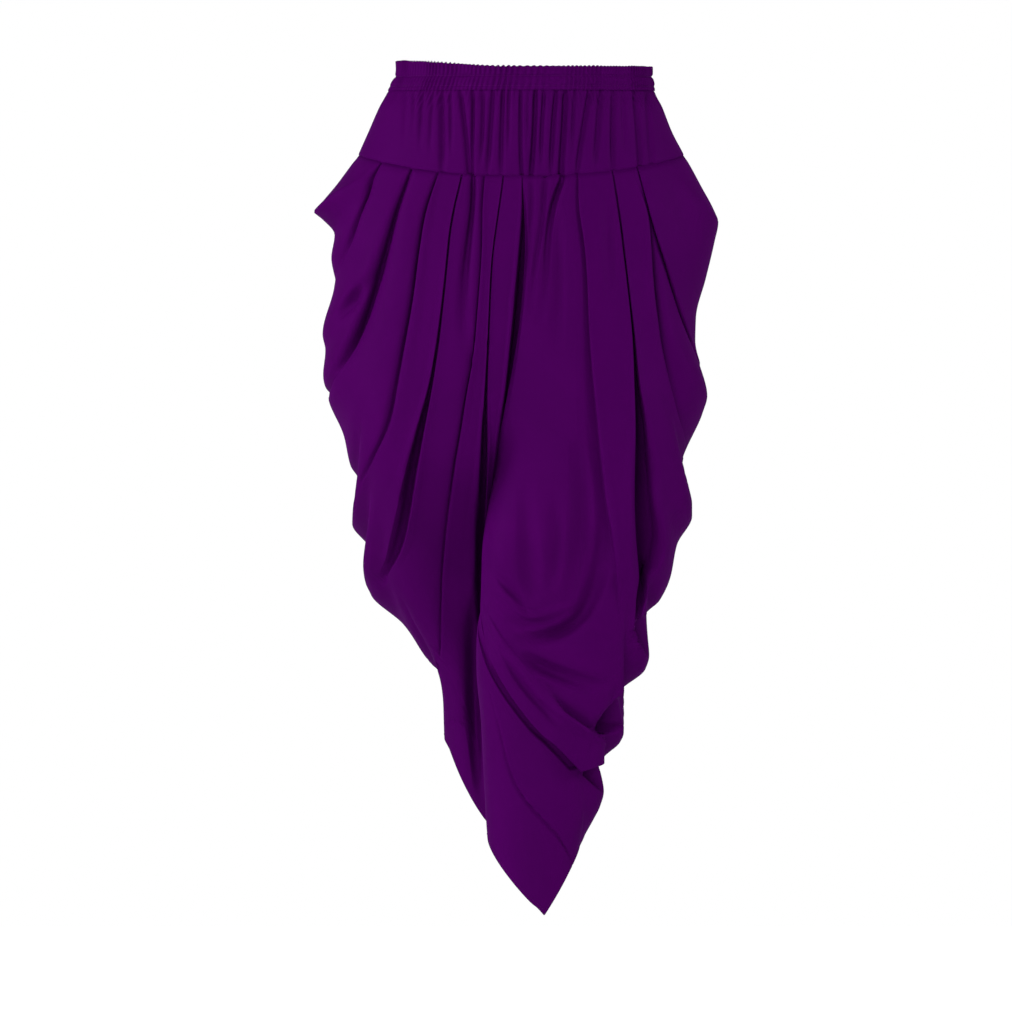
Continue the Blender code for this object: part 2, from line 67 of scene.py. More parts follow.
# %% Driving sizes
MM = 0.001
ROUNDNESS = 2.3
CLOTH = 1.0

CASING_DEPTH = 25.0
RUFFLE_HEIGHT = 9.5
SEAM_AT_SIDE = 97.0
SEAM_DROP = 23.0
SEAM = 0.3

print("seam of the yoke at", SEAM_AT_SIDE, "to", SEAM_AT_SIDE + SEAM_DROP, "mm")

# %% [markdown]
# A form of cloth has few sizes and many points. Its sizes are kept in short tables, and a
# table is read as a smooth curve through its rows. Straight lines between rows would show
# as kinks, and a free spline would swing past its points. So the curve is a cubic that
# stays monotone between two rows.


# %% Tables and curves
def table(columns, rows):
    """Rows of plain numbers as a dictionary of named columns."""
    values = np.array(rows, dtype=float)
    return {name: values[:, i] for i, name in enumerate(columns.split())}


def cubic(t, step, low, high, low_slope, high_slope):
    """Place on a cubic between two points that are a step apart, from their slopes."""
    start = (1 + 2 * t) * (1 - t) ** 2 * low + t * (1 - t) ** 2 * step * low_slope
    end = t * t * (3 - 2 * t) * high - t * t * (1 - t) * step * high_slope
    return start + end


def smooth_curve(x, y, at):
    """Monotone cubic through the points (x, y), read at the places given."""
    step = np.diff(x)
    rise = np.diff(y) / step
    slope = np.zeros(len(x))
    slope[0], slope[-1] = rise[0], rise[-1]
    before, after = rise[:-1], rise[1:]
    same_way = before * after > 0
    safe_before = np.where(same_way, before, 1.0)
    safe_after = np.where(same_way, after, 1.0)
    heavy = 2 * step[1:] + step[:-1]
    light = step[1:] + 2 * step[:-1]
    mean = (heavy + light) / (heavy / safe_before + light / safe_after)
    slope[1:-1] = np.where(same_way, mean, 0.0)
    at = np.clip(at, x[0], x[-1])
    i = np.clip(np.searchsorted(x, at, side="right") - 1, 0, len(step) - 1)
    t = (at - x[i]) / step[i]
    return cubic(t, step[i], y[i], y[i + 1], slope[i], slope[i + 1])


def read(tab, column, depth):
    """A column of a table at any depth."""
    return smooth_curve(tab["depth"], tab[column], np.asarray(depth, dtype=float))


def ease(value):
    """0 to 1, with a soft start and end."""
    t = np.clip(value, 0.0, 1.0)
    return t * t * (3 - 2 * t)


def relax_line(line, passes):
    """Takes small kinks out of a line and keeps its ends."""
    line = line.copy()
    for _ in range(passes):
        line[1:-1] = (line[:-2] + 2 * line[1:-1] + line[2:]) / 4
    return line


# The legs and the body of the garment have rounded sections a little fuller than an
# ellipse. These three replace cosine, sine and arc cosine in them.
def round_cos(angle):
    c = np.cos(angle)
    return np.sign(c) * np.abs(c) ** (2 / ROUNDNESS)


def round_sin(angle):
    return np.abs(np.sin(angle)) ** (2 / ROUNDNESS)


def round_acos(value):
    value = np.clip(value, -1.0, 1.0)
    return np.arccos(np.sign(value) * np.abs(value) ** (ROUNDNESS / 2))


def yoke_seam(angle):
    """Depth of the seam between the yoke and the legs."""
    return SEAM_AT_SIDE + SEAM_DROP * np.sin(angle) ** 2


print("halfway through an ease:", ease(0.5))

# %% [markdown]
# ## Cloth as a thin shell
#
# Cloth has two faces a millimetre apart. A draped sheet could come out of a cloth
# simulation, but pleats that lie in set places are surer when they are formed point by
# point. So each piece is made as one grid of points, row below row. The grid becomes a mesh
# of quads with a UV map in metres along and across the cloth, which the weave follows. The
# Solidify modifier then gives it its thickness and closes its edges.


# %% From a grid of points to a piece of cloth
def grid_lengths(grid):
    """Distances across and down the cloth at every point of a grid."""
    across = np.linalg.norm(np.diff(grid, axis=1), axis=-1)
    down = np.linalg.norm(np.diff(grid, axis=0), axis=-1)
    across = np.concatenate([np.zeros((len(grid), 1)), np.cumsum(across, axis=1)], axis=1)
    down = np.concatenate([np.zeros((1, grid.shape[1])), np.cumsum(down, axis=0)], axis=0)
    return across - across[:, [across.shape[1] // 2]], down


def add_piece(name, points, faces):
    """A new object in the scene from points in millimetres."""
    mesh = bpy.data.meshes.new(name)
    mesh.from_pydata((np.reshape(points, (-1, 3)) * MM).tolist(), [], faces)
    mesh.shade_smooth()
    piece = bpy.data.objects.new(name, mesh)
    bpy.context.scene.collection.objects.link(piece)
    return piece


def cloth_piece(name, grid, closed=False, flip=False):
    """A shell of cloth from a grid of points in millimetres; its outer face is the grid."""
    rows, cols = grid.shape[:2]
    across, down = grid_lengths(np.concatenate([grid, grid[:, :1]], axis=1) if closed else grid)
    spans = cols if closed else cols - 1
    r, c = np.meshgrid(np.arange(rows - 1), np.arange(spans), indexing="ij")
    near, far = r * cols + c, r * cols + (c + 1) % cols
    corners = np.stack([near, far, far + cols, near + cols], axis=-1).reshape(-1, 4)
    places = np.stack([np.stack([r, c], -1), np.stack([r, c + 1], -1),
                       np.stack([r + 1, c + 1], -1), np.stack([r + 1, c], -1)], axis=2)
    places = places.reshape(-1, 4, 2)
    if flip:
        corners, places = corners[:, ::-1], places[:, ::-1]
    piece = add_piece(name, grid, corners.tolist())
    layer = piece.data.uv_layers.new(name="cloth")
    flat = places.reshape(-1, 2)
    uv = np.stack([across[flat[:, 0], flat[:, 1]], -down[flat[:, 0], flat[:, 1]]], axis=-1)
    layer.data.foreach_set("uv", (uv * MM).ravel())
    bpy.context.view_layer.objects.active = piece
    wall = piece.modifiers.new("wall", "SOLIDIFY")
    wall.thickness = CLOTH * MM
    wall.offset = -1.0
    bpy.ops.object.modifier_apply(modifier=wall.name)
    count = sum(len(f.vertices) - 2 for f in piece.data.polygons)
    print(f"{name}: {count} triangles")
    return piece


# %% [markdown]
# The casing and the hems are sewn with a plain lockstitch. A line drawn in the material
# would lie flat, so stitches are made one by one, each a short thread that rises over the
# cloth between its two needle holes and thins towards them. A row of them follows one row
# of a piece's grid, so it stays on the cloth wherever the cloth goes.


# %% Rows of stitches
STITCH_PITCH = 3.4
STITCH_LONG = 2.6
THREAD = 0.5
STITCH_RINGS = ((0.0, 0.3), (0.5, 1.0), (1.0, 0.3))  # share of the length, of the thread


def stitch_row(name, grid, row, flip=False, closed=False):
    """Stitches on the outer face of a piece of cloth, along one row of its grid."""
    line, down = grid[row], grid[row + 1] - grid[row - 1]
    if closed:
        line, down = np.concatenate([line, line[:1]]), np.concatenate([down, down[:1]])
    out = np.cross(np.gradient(line, axis=0), down) * (-1 if flip else 1)
    out /= np.linalg.norm(out, axis=1)[:, None]
    run = np.concatenate([[0], np.cumsum(np.linalg.norm(np.diff(line, axis=0), axis=1))])
    starts = np.arange(STITCH_PITCH, run[-1] - STITCH_PITCH, STITCH_PITCH)
    shares, thicks = zip(*STITCH_RINGS)
    points, faces = [], []
    for start in starts:
        at = start + STITCH_LONG * np.array(shares)
        spine = np.stack([np.interp(at, run, line[:, i]) for i in range(3)], axis=1)
        up = np.stack([np.interp(at, run, out[:, i]) for i in range(3)], axis=1)
        side = np.cross(spine[2] - spine[0], up[1])
        side /= np.linalg.norm(side)
        first = len(points)
        for middle, rise, thick in zip(spine, up, thicks):
            radius = THREAD / 2 * thick
            centre = middle + rise * (THREAD * thick - THREAD / 2)
            points += [centre + side * radius, centre + rise * radius,
                       centre - side * radius, centre - rise * radius]
        for ring in (first, first + 4):
            faces += [(ring + i, ring + 4 + i, ring + 4 + (i + 1) % 4, ring + (i + 1) % 4)
                      for i in range(4)]
        faces += [tuple(first + i for i in range(4)), tuple(first + 8 + i for i in (3, 2, 1, 0))]
    piece = add_piece(name, points, faces)
    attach(piece, "root")
    print(f"{name}: {len(starts)} stitches")
    return piece


print("a stitch every", STITCH_PITCH, "mm")

# %% [markdown]
# ## The shape of a leg
#
# Each leg of dhoti pants is one wide panel that hangs from the yoke and narrows towards the
# ankle. A tube with a fixed outline would miss its swags, so a leg is a stack of rounded
# sections, one for each height. Where the two legs are still joined the section is an open
# C, and lower down it closes into a tube. The side edge has scallops: each one is the
# bottom of a swag, which rises from there over the front and the back of the leg.
#
# In the tables "smooth" is the reach of the side without its scallops, "inner" the reach of
# the edge next to the other leg, and "closure" runs from 0 for an open C to 1 for a tube.
# "middle" is the Y of the side line, with the front and the back measured from there.

# %% Tables of the right leg
LEG_COLUMNS = "depth smooth inner closure middle front back"
RIGHT_LEG = (
    (97, 180, 1, 0.00, 0, 118, 130),
    (120, 198, 0, 0.00, 0, 120, 137),
    (160, 213, -3, 0.00, 0, 131, 146),
    (200, 212, -5, 0.00, 0, 138, 151),
    (250, 212, -3, 0.06, 0, 141, 152),
    (300, 214, 2, 0.20, 0, 142, 150),
    (350, 211, 10, 0.50, 0, 141, 146),
    (396, 197, 17, 0.85, 0, 138, 141),
    (430, 190, 23, 1.00, 0, 134, 136),
    (447, 186, 27, 1.00, 8, 130, 132),
    (489, 178, 32, 1.00, 29, 116, 118),
    (521, 170, 34, 1.00, 45, 102, 107),
    (553, 160, 33, 1.00, 56, 90, 96),
    (600, 133, 29, 1.00, 64, 76, 84),
    (650, 101, 9, 1.00, 70, 64, 72),
    (700, 87, -10, 1.00, 74, 56, 62),
    (750, 83, -22, 1.00, 76, 52, 56),
    (850, 80, -30, 1.00, 78, 50, 52),
)
EDGE_COLUMNS = "depth reach"
RIGHT_EDGE = (
    (97, 180), (148, 220), (156, 227), (163, 219), (181, 204.5), (206, 208), (231, 204.5),
    (289, 217.5), (306, 214.5), (334, 217), (356, 213), (399, 194.5), (432, 187), (447, 178.5),
    (495, 185.5), (524, 166), (558, 171.5), (573, 165), (604, 130), (646, 101),
    (655, 92), (686, 87), (725, 85.7), (760, 82), (850, 80),
)
print(len(RIGHT_LEG), "sections and", len(RIGHT_EDGE), "points on the edge")

# %% [markdown]
# The left leg steps forward and crosses to the middle, so its "middle" goes forward as the
# right leg's goes back. Its lowest stretch, the petal, is a panel of its own.

# %% Tables of the left leg and the petal
LEFT_LEG = (
    (97, 176, -1, 0.00, 0, 118, 130),
    (120, 190, -1, 0.00, 0, 120, 137),
    (160, 203, 1, 0.00, 0, 131, 146),
    (200, 203, 2, 0.00, 0, 138, 151),
    (250, 196, -1, 0.06, 0, 141, 152),
    (300, 192, -7, 0.20, 0, 142, 150),
    (350, 193, -16, 0.50, 0, 141, 146),
    (396, 190, -25, 0.85, 0, 138, 141),
    (430, 184, -31, 1.00, 0, 136, 138),
    (447, 182, -34, 1.00, -8, 132, 134),
    (489, 176, -40, 1.00, -27, 121, 120),
    (521, 168, -45, 1.00, -42, 108, 110),
    (553, 158, -45, 1.00, -52, 92, 100),
    (600, 140, -47, 1.00, -60, 76, 86),
    (650, 128, -46, 1.00, -66, 74, 74),
    (700, 112, -46, 1.00, -70, 70, 64),
    (750, 97, -46, 1.00, -73, 63, 58),
    (800, 88, -45, 1.00, -75, 58, 54),
)
LEFT_EDGE = (
    (97, 176), (131, 195), (156, 208), (167, 212), (188, 208), (228, 198.5), (271, 187.7),
    (296, 187), (321, 192), (356, 200), (374, 195), (434, 172.5), (473, 183.4),
    (486, 183.4), (517, 167), (553, 159.5), (578, 147.6), (594, 132.4), (637, 136.7),
    (652, 132.4), (680, 103), (721, 109), (731, 105), (751, 86), (779, 89), (800, 87),
)
PETAL = (
    (570, 92, -40, 1.00, -56, 76, 72),
    (600, 88, -50, 1.00, -60, 74, 70),
    (655, 84, -51, 1.00, -66, 65, 60),
    (700, 82, -46, 1.00, -70, 59, 54),
    (740, 78, -44, 1.00, -72, 56, 51),
    (765, 78, -43, 1.00, -74, 54, 50),
    (800, 78, -41, 1.00, -75, 52, 49),
    (836, 65, -39, 1.00, -76, 50, 48),
    (850, 61, -37, 1.00, -76, 49, 47),
    (920, 58, -34, 1.00, -77, 47, 46),
)
PETAL_EDGE = (
    (570, 92), (655, 84), (740, 80), (765, 84.5), (784, 87.5), (800, 83.5), (815, 76),
    (836, 65), (850, 61), (920, 58),
)
print(len(LEFT_LEG), "sections on the left leg,", len(PETAL), "on the petal")

# %% [markdown]
# The form turns those tables into points. It can also unroll itself: `run_at` gives how far
# a place is from the side line, measured round the leg, so that folds can be drawn on the
# cloth as on a flat sheet. A lift moves a point straight out of the cloth, but near the side
# it goes to the front or the back, so that folds don't change the outline.

# %% The form of a leg
FULLNESS = table("depth full", (
    (97, 0.0), (300, 0.0), (390, 2.0), (620, 2.0), (700, 1.0), (800, 0.0), (920, 0.0),
))
# A swag rises this far round the leg, and starts this far below the seam.
SCALLOP_RISE = 250.0
SCALLOP_START = 45.0
# Where the side of a leg blends into its front: cosines, and turns in radians.
SIDE_FROM, SIDE_BLEND = 0.55, 0.40
FULL_BLEND = 0.3
STRAIGHT_IN = 0.9
SIDE_TURN, INNER_TURN, TURN_BLEND = 0.25, 1.75, 0.6
# How finely the form is worked out.
PLACE_STEPS = 8
SETTLE_STEPS = 40
SETTLE_SHARE = 0.3
SECTION_STEP = 4.0
SECTION_PASSES = 30
UNROLL_ROWS = 90
UNROLL_TURNS = 241
SMALL_TURN = 0.02
LEAST_STRETCH = 8.0


def side_weight(angle):
    """1 along the side of a leg, 0 over its front and back."""
    return ease((np.cos(angle) - SIDE_FROM) / SIDE_BLEND)


class LegForm:
    """The smooth form of one leg panel, before it is pleated."""

    def __init__(self, side, rows, edge_rows, top, bottom):
        self.side = side
        self.rows = self.softened(table(LEG_COLUMNS, rows))
        self.edge = table(EDGE_COLUMNS, edge_rows)
        self.top = top
        self.bottom = bottom
        self.unroll()

    def softened(self, rows):
        """The table of sections read every few millimetres, without its small kinks."""
        level = np.arange(rows["depth"][0], rows["depth"][-1], SECTION_STEP)
        lines = np.stack([read(rows, name, level) for name in rows if name != "depth"], axis=1)
        names = [name for name in rows if name != "depth"]
        return {"depth": level, **dict(zip(names, relax_line(lines, SECTION_PASSES).T))}

    def depth(self, down, angle):
        """Depth of a place that is a share of the way down the panel."""
        top, bottom = self.top(angle), self.bottom(angle)
        return top + (bottom - top) * down

    def section(self, depth):
        """Centre, half width and closure of the section at a depth."""
        inner, outer = read(self.rows, "inner", depth), read(self.rows, "smooth", depth)
        inner = inner + SEAM / 2
        closure = read(self.rows, "closure", depth)
        half = (outer - inner) / (1 + closure)
        return inner + closure * half, half, closure

    def edge_angle(self, down):
        """Angle of the panel's inner edge, which changes as the C closes."""
        angle = np.full(np.shape(down), np.pi / 2)
        for _ in range(SETTLE_STEPS):
            closure = self.section(self.depth(down, angle))[2]
            angle = angle + SETTLE_SHARE * (round_acos(-closure) - angle)
        return angle

    def scallop(self, depth, angle):
        """How far the side stands out or in because of its swags, which rise round the leg."""
        level = np.minimum(depth + SCALLOP_RISE * (1 - np.cos(angle)), self.edge["depth"][-1])
        out = read(self.edge, "reach", level) - read(self.rows, "smooth", level)
        return out * side_weight(angle) * ease((depth - self.top(angle)) / SCALLOP_START)

    def angle_of(self, reach, depth):
        """Angle at which the scalloped panel comes out to a reach."""
        centre, half, _ = self.section(depth)
        angle = round_acos((reach - centre) / half)
        for _ in range(PLACE_STEPS):
            full = half + self.scallop(depth, angle)
            angle = (angle + round_acos((reach - centre) / full)) / 2
        return angle

    def surface(self, depth, angle, lift=0.0, scalloped=1.0):
        """Points of the panel, moved out along the section by "lift"."""
        centre, half, _ = self.section(depth)
        middle = read(self.rows, "middle", depth)
        front, back = read(self.rows, "front", depth), read(self.rows, "back", depth)
        deep = np.where(angle < 0, front, back)
        reach = centre + (half + scalloped * self.scallop(depth, angle)) * round_cos(angle)
        across = round_cos(angle)
        full = read(FULLNESS, "full", depth) * ease(-across / FULL_BLEND)
        power = ROUNDNESS + full * (angle < 0)
        y = middle + np.sign(angle) * deep * (1 - np.abs(across) ** power) ** (1 / power)
        turn = np.abs(angle)
        flank = 1 - ease((turn - INNER_TURN) / TURN_BLEND)
        sideways = 1 - STRAIGHT_IN * ease((turn - SIDE_TURN) / TURN_BLEND)
        out_x, out_y = sideways * np.cos(angle) * flank, np.sin(angle) * half / deep
        straight = np.sign(angle) * (1 - flank) + out_y * flank
        out_y = np.where(turn > INNER_TURN, straight, out_y)
        size = np.maximum(np.hypot(out_x, out_y), 0.05)
        x = self.side * (reach + lift * out_x / size)
        return np.stack([x, y + lift * out_y / size, -depth], axis=-1)

    def unroll(self):
        """Distance round each section from the side line, in a table of depth and angle."""
        self.levels = np.linspace(self.rows["depth"][0], self.rows["depth"][-1], UNROLL_ROWS)
        self.turns = np.linspace(-np.pi, np.pi, UNROLL_TURNS)
        depth, angle = np.meshgrid(self.levels, self.turns, indexing="ij")
        points = self.surface(depth, angle, scalloped=0.0)
        step = np.linalg.norm(np.diff(points[..., :2], axis=1), axis=-1)
        run = np.concatenate([np.zeros((UNROLL_ROWS, 1)), np.cumsum(step, axis=1)], axis=1)
        self.runs = run - run[:, [UNROLL_TURNS // 2]]

    def run_at(self, depth, angle):
        """Distance from the side line to a place, round the leg; negative in front."""
        row = np.clip((depth - self.levels[0]) / (self.levels[1] - self.levels[0]), 0,
                      UNROLL_ROWS - 1.001)
        col = np.clip((angle + np.pi) / (self.turns[1] - self.turns[0]), 0,
                      UNROLL_TURNS - 1.001)
        r, c = row.astype(int), col.astype(int)
        row, col = row - r, col - c
        top = self.runs[r, c] * (1 - col) + self.runs[r, c + 1] * col
        low = self.runs[r + 1, c] * (1 - col) + self.runs[r + 1, c + 1] * col
        return top * (1 - row) + low * row

    def stretch(self, depth, angle):
        """Millimetres round the leg for each radian there."""
        span = (self.run_at(depth, angle + SMALL_TURN)
                - self.run_at(depth, angle - SMALL_TURN))
        return np.maximum(span / (2 * SMALL_TURN), LEAST_STRETCH)


print("swags rise", SCALLOP_RISE, "mm from the side to the front")

# %% [markdown]
# The right hem dips at its inner quarter, where the panel's corner hangs. The drape of the
# left leg ends along a line that winds round the shin, high inside the leg and lowest just
# in front of its side. Each line is a depth for every angle, so it stays smooth all round.


# %% Where the legs begin and end
HEM_SIDE, HEM_CORNER, HEM_INSIDE = 729, 845, 790
CORNER_TURN = np.radians(115.0)
WRAP_TOP, WRAP_DROP, WRAP_RISE = 600, 192, 43
WRAP_TURN = np.radians(60.0)


def leg_top(angle):
    return yoke_seam(angle) + SEAM


def right_hem(angle):
    """The right hem is short at the side and longest at the front inner quarter."""
    turn = np.abs(angle)
    outer = ease(turn / CORNER_TURN)
    inner = ease((np.pi - turn) / (np.pi - CORNER_TURN))
    return np.where(turn < CORNER_TURN, HEM_SIDE + (HEM_CORNER - HEM_SIDE) * outer,
                    HEM_INSIDE + (HEM_CORNER - HEM_INSIDE) * inner)


def wrap_line(angle):
    """Lower edge of the left drape: high inside the leg, lowest in front of its side."""
    turn = np.minimum(np.abs(angle) / WRAP_TURN, 1)
    drop = WRAP_DROP * np.abs(np.cos(angle / 2)) ** 1.15
    return WRAP_TOP + drop - WRAP_RISE * (1 - turn ** 1.7)


right_form = LegForm(-1, RIGHT_LEG, RIGHT_EDGE, leg_top, right_hem)
left_form = LegForm(1, LEFT_LEG, LEFT_EDGE, leg_top, wrap_line)
print("round the right leg at 300 mm:", round(float(np.ptp(right_form.runs[24]))), "mm")

# %% [markdown]
# ## Folds
#
# Pleats are what make these pants dhoti pants: the yoke's seam takes in a wide panel, and
# the cloth fans out below it. Sculpting them by hand would leave them hard to change, and a
# bump in the material would not catch the light at the edges. So a fold has a path on the
# cloth and a profile across it, and both move the points of the panel.
#
# A knife pleat tucks one side under the other, so its profile moves sideways as well as in
# and out and leaves a rolled lip over a dark crease. A lap does so more gently. A valley
# sinks between two soft shoulders, and a cleft has softer sides. A step drops to one side
# only. A trough is a shallow valley, and a ridge is its opposite. Each row below is a place
# across the fold in widths, a sideways move in overlaps and a lift in depths of the fold.

# %% Profiles across a fold
PROFILE_COLUMNS = "place shift lift"
PROFILES = {
    "knife": (
        (-1.80, 0.00, 0.00), (-1.00, 0.00, -0.05), (-0.50, 0.00, -0.18), (-0.28, 0.05, -0.36),
        (-0.16, 0.15, -0.90), (-0.08, 0.20, -1.00), (0.02, 0.20, -1.00), (0.09, 0.05, -0.50),
        (0.14, -0.35, 0.00), (0.20, -0.50, 0.13), (0.36, -0.30, 0.19), (0.75, 0.00, 0.10),
        (1.40, 0.00, 0.00),
    ),
    "valley": (
        (-1.40, 0.00, 0.00), (-0.85, 0.10, 0.05), (-0.60, 0.40, 0.06), (-0.53, 0.40, -0.30),
        (-0.47, 0.10, -0.85), (-0.25, 0.00, -1.00), (0.25, 0.00, -1.00), (0.47, -0.10, -0.85),
        (0.53, -0.40, -0.30), (0.60, -0.40, 0.06), (0.85, -0.10, 0.05), (1.40, 0.00, 0.00),
    ),
    "lap": (
        (-1.60, 0.00, 0.00), (-1.00, 0.00, -0.14), (-0.50, 0.05, -0.48), (-0.15, 0.25, -0.85),
        (0.00, 0.30, -1.00), (0.07, 0.10, -0.70), (0.12, -0.30, -0.10), (0.20, -0.50, 0.12),
        (0.36, -0.28, 0.20), (0.75, 0.00, 0.10), (1.40, 0.00, 0.00),
    ),
    "cleft": (
        (-1.50, 0.00, 0.00), (-0.95, 0.00, -0.05), (-0.55, 0.00, -0.16), (-0.32, 0.00, -0.34),
        (-0.19, 0.00, -0.72), (-0.09, 0.00, -1.00), (0.09, 0.00, -1.00), (0.19, 0.00, -0.72),
        (0.32, 0.00, -0.34), (0.55, 0.00, -0.16), (0.95, 0.00, -0.05), (1.50, 0.00, 0.00),
    ),
    "step": (
        (-14.0, 0.00, -1.00), (-0.95, 0.00, -1.00), (-0.50, 0.00, -0.90), (0.10, 0.00, -0.20),
        (0.40, 0.00, 0.02), (0.80, 0.00, 0.05), (1.50, 0.00, 0.00),
    ),
    "trough": (
        (-1.60, 0.00, 0.00), (-0.90, 0.00, -0.12), (-0.40, 0.00, -0.72), (0.00, 0.00, -1.00),
        (0.40, 0.00, -0.72), (0.90, 0.00, -0.12), (1.60, 0.00, 0.00),
    ),
    "ridge": (
        (-1.60, 0.00, 0.00), (-0.90, 0.00, 0.12), (-0.40, 0.00, 0.72), (0.00, 0.00, 1.00),
        (0.40, 0.00, 0.72), (0.90, 0.00, 0.12), (1.60, 0.00, 0.00),
    ),
}
PROFILES = {name: table(PROFILE_COLUMNS, rows) for name, rows in PROFILES.items()}
print("profiles:", ", ".join(PROFILES))

# %% [markdown]
# The tables of folds follow. "lip" is +1 where the side nearer to the leg's own side lies on
# top, and -1 where the side nearer to the middle does. A path runs down the front from the
# yoke. Each of its points gives the reach and the depth, and there the width, the depth of
# the fold and how far one side laps over the other. A fold that wraps goes on round the
# side of the leg and up the back, as the cloth of a cowl does.
#
# On the right leg the pleats stand in a row from the middle to the side. The ones near the
# middle fall almost straight and open into deep valleys at the thigh. The ones near the
# side swing out and end in the swags.

# %% Folds of the right leg
FOLD_COLUMNS = "kind lip wraps path"
RIGHT_FOLDS = (
    ("step", 0, False, (
        (1, 119, 2, 3, 0), (1, 150, 2, 8, 0), (2.5, 177, 3, 22, 0), (5, 205, 3, 32, 0),
        (9.5, 260, 3, 38, 0), (15, 315, 3, 38, 0), (19, 354, 3, 34, 0), (24, 382, 3, 28, 0),
        (28, 410, 3, 20, 0), (31.5, 436, 3, 14, 0), (35, 463, 3, 8, 0), (38, 490, 3, 4, 0))),
    ("valley", 0, False, (
        (21, 119, 1.5, 4, 0), (27, 161, 1.5, 8, 0), (33, 204, 1.5, 12, 0),
        (36, 260, 1.6, 16, 0), (38, 307, 1.8, 20, 0), (39.4, 338, 2.4, 26, 0),
        (41, 382, 4.5, 38, 0), (41.5, 408, 6.5, 44, 0), (42.8, 443, 9.5, 48, 0),
        (44, 477, 11.5, 50, 0), (45, 512, 13, 48, 0), (45, 540, 13, 42, 0), (44.5, 570, 12, 32, 0),
        (42, 600, 10, 20, 0), (36, 660, 8, 12, 0), (28, 740, 8, 6, 0), (20, 840, 8, 4, 0))),
    ("knife", -1, True, (
        (41, 119, 3, 5, 1), (43, 167, 4, 6, 2), (45, 217, 4, 7, 2), (49, 260, 4, 8, 2),
        (52, 307, 4, 8, 2), (57.5, 338, 5, 8, 2), (65, 382, 5, 8, 2), (72, 425, 6, 8, 2),
        (81, 486, 6, 7, 2), (86, 530, 6, 6, 2), (88, 582, 5, 5, 2), (89, 640, 5, 3, 1))),
    ("trough", 0, False, (
        (54, 119, 3, 10, 0), (54, 142, 3.5, 12, 0), (56, 165, 4, 13, 0), (59, 190, 5, 12, 0),
        (63, 229, 7, 8, 0), (64, 262, 9, 4, 0), (62, 310, 10, 1, 0))),
    ("valley", 0, False, (
        (66, 118, 1.6, 5, 0), (77, 165, 2, 10, 0), (84, 230, 2.6, 16, 1), (93.5, 308, 3.6, 26, 1),
        (101.5, 354, 4.4, 34, 1), (108.5, 382, 6.2, 42, 0), (115, 411, 8.2, 48, 0),
        (121.5, 440, 9.6, 50, 0), (127, 470, 11, 48, 0), (132.5, 499, 11, 38, 0),
        (141, 528, 9, 24, 0), (149, 546, 6, 9, 0), (152, 552, 4, 3, 0))),
    ("knife", -1, True, (
        (91, 116, 3, 6, 1), (102, 148, 6, 12, 2), (112, 198, 8, 14, 3), (118, 246, 9, 14, 3),
        (128, 302, 11, 13, 3), (136, 347, 12, 12, 3), (143, 388, 12, 11, 3),
        (155, 410, 12, 9, 2), (166, 432, 11, 6, 1), (177, 453, 10, 2, 0))),
    ("cleft", 0, True, (
        (120, 110, 4, 6, 0), (128, 136, 7, 12, 0), (138, 162, 9, 20, 0),
        (147.5, 198, 12, 28, 0), (157, 230, 16, 36, 0), (167, 259, 18, 40, 0),
        (178, 289, 18, 40, 0), (190, 308, 18, 32, 0), (203, 328, 16, 10, 0))),
    ("cleft", 0, True, (
        (156.5, 108, 3, 6, 0), (165.5, 129, 7, 18, 0), (175, 152, 11, 28, 0),
        (183, 175, 12, 26, 0), (190, 188, 12, 16, 0), (197, 212, 12, 2, 0))),
)
print(len(RIGHT_FOLDS), "pleats on the right leg")

# %% [markdown]
# Creases are smaller than pleats and start anywhere: a hollow where a swag turns, and soft
# lines where the cloth hangs over the knee and the calf.

# %% Creases of the right leg
RIGHT_CREASES = (
    ("trough", 0, False, (
        (172, 236, 9, 4, 0), (180, 244, 12, 30, 0), (188, 253, 14, 42, 0),
        (196, 262, 12, 26, 0), (203, 272, 8, 2, 0))),
    ("trough", 0, False, (
        (48, 570, 9, 2, 0), (50, 600, 11, 16, 0), (52, 650, 12, 24, 0), (52, 710, 12, 24, 0),
        (50, 750, 10, 14, 0), (46, 790, 8, 2, 0))),
    ("trough", 0, True, (
        (146, 538, 8, 2, 0), (154, 552, 9, 6, 0), (162, 566, 9, 5, 0), (166, 572, 9, 2, 0))),
    ("trough", 0, False, (
        (84, 708, 4, 1, 0), (74, 712, 5, 4, 0), (60, 712, 5, 4, 0), (44, 708, 4, 1, 0))),
    ("trough", 0, False, (
        (124, 608, 2, 0, 0), (114, 626, 3, 3, 0), (104, 642, 3, 3, 0), (92, 652, 2, 1, 0))),
)
print(len(RIGHT_CREASES), "creases on the right leg")

# %% [markdown]
# The left leg is in front, so its panel lies smooth over the thigh and its pleats start
# further out. Short gathers hang from the seam next to the middle.

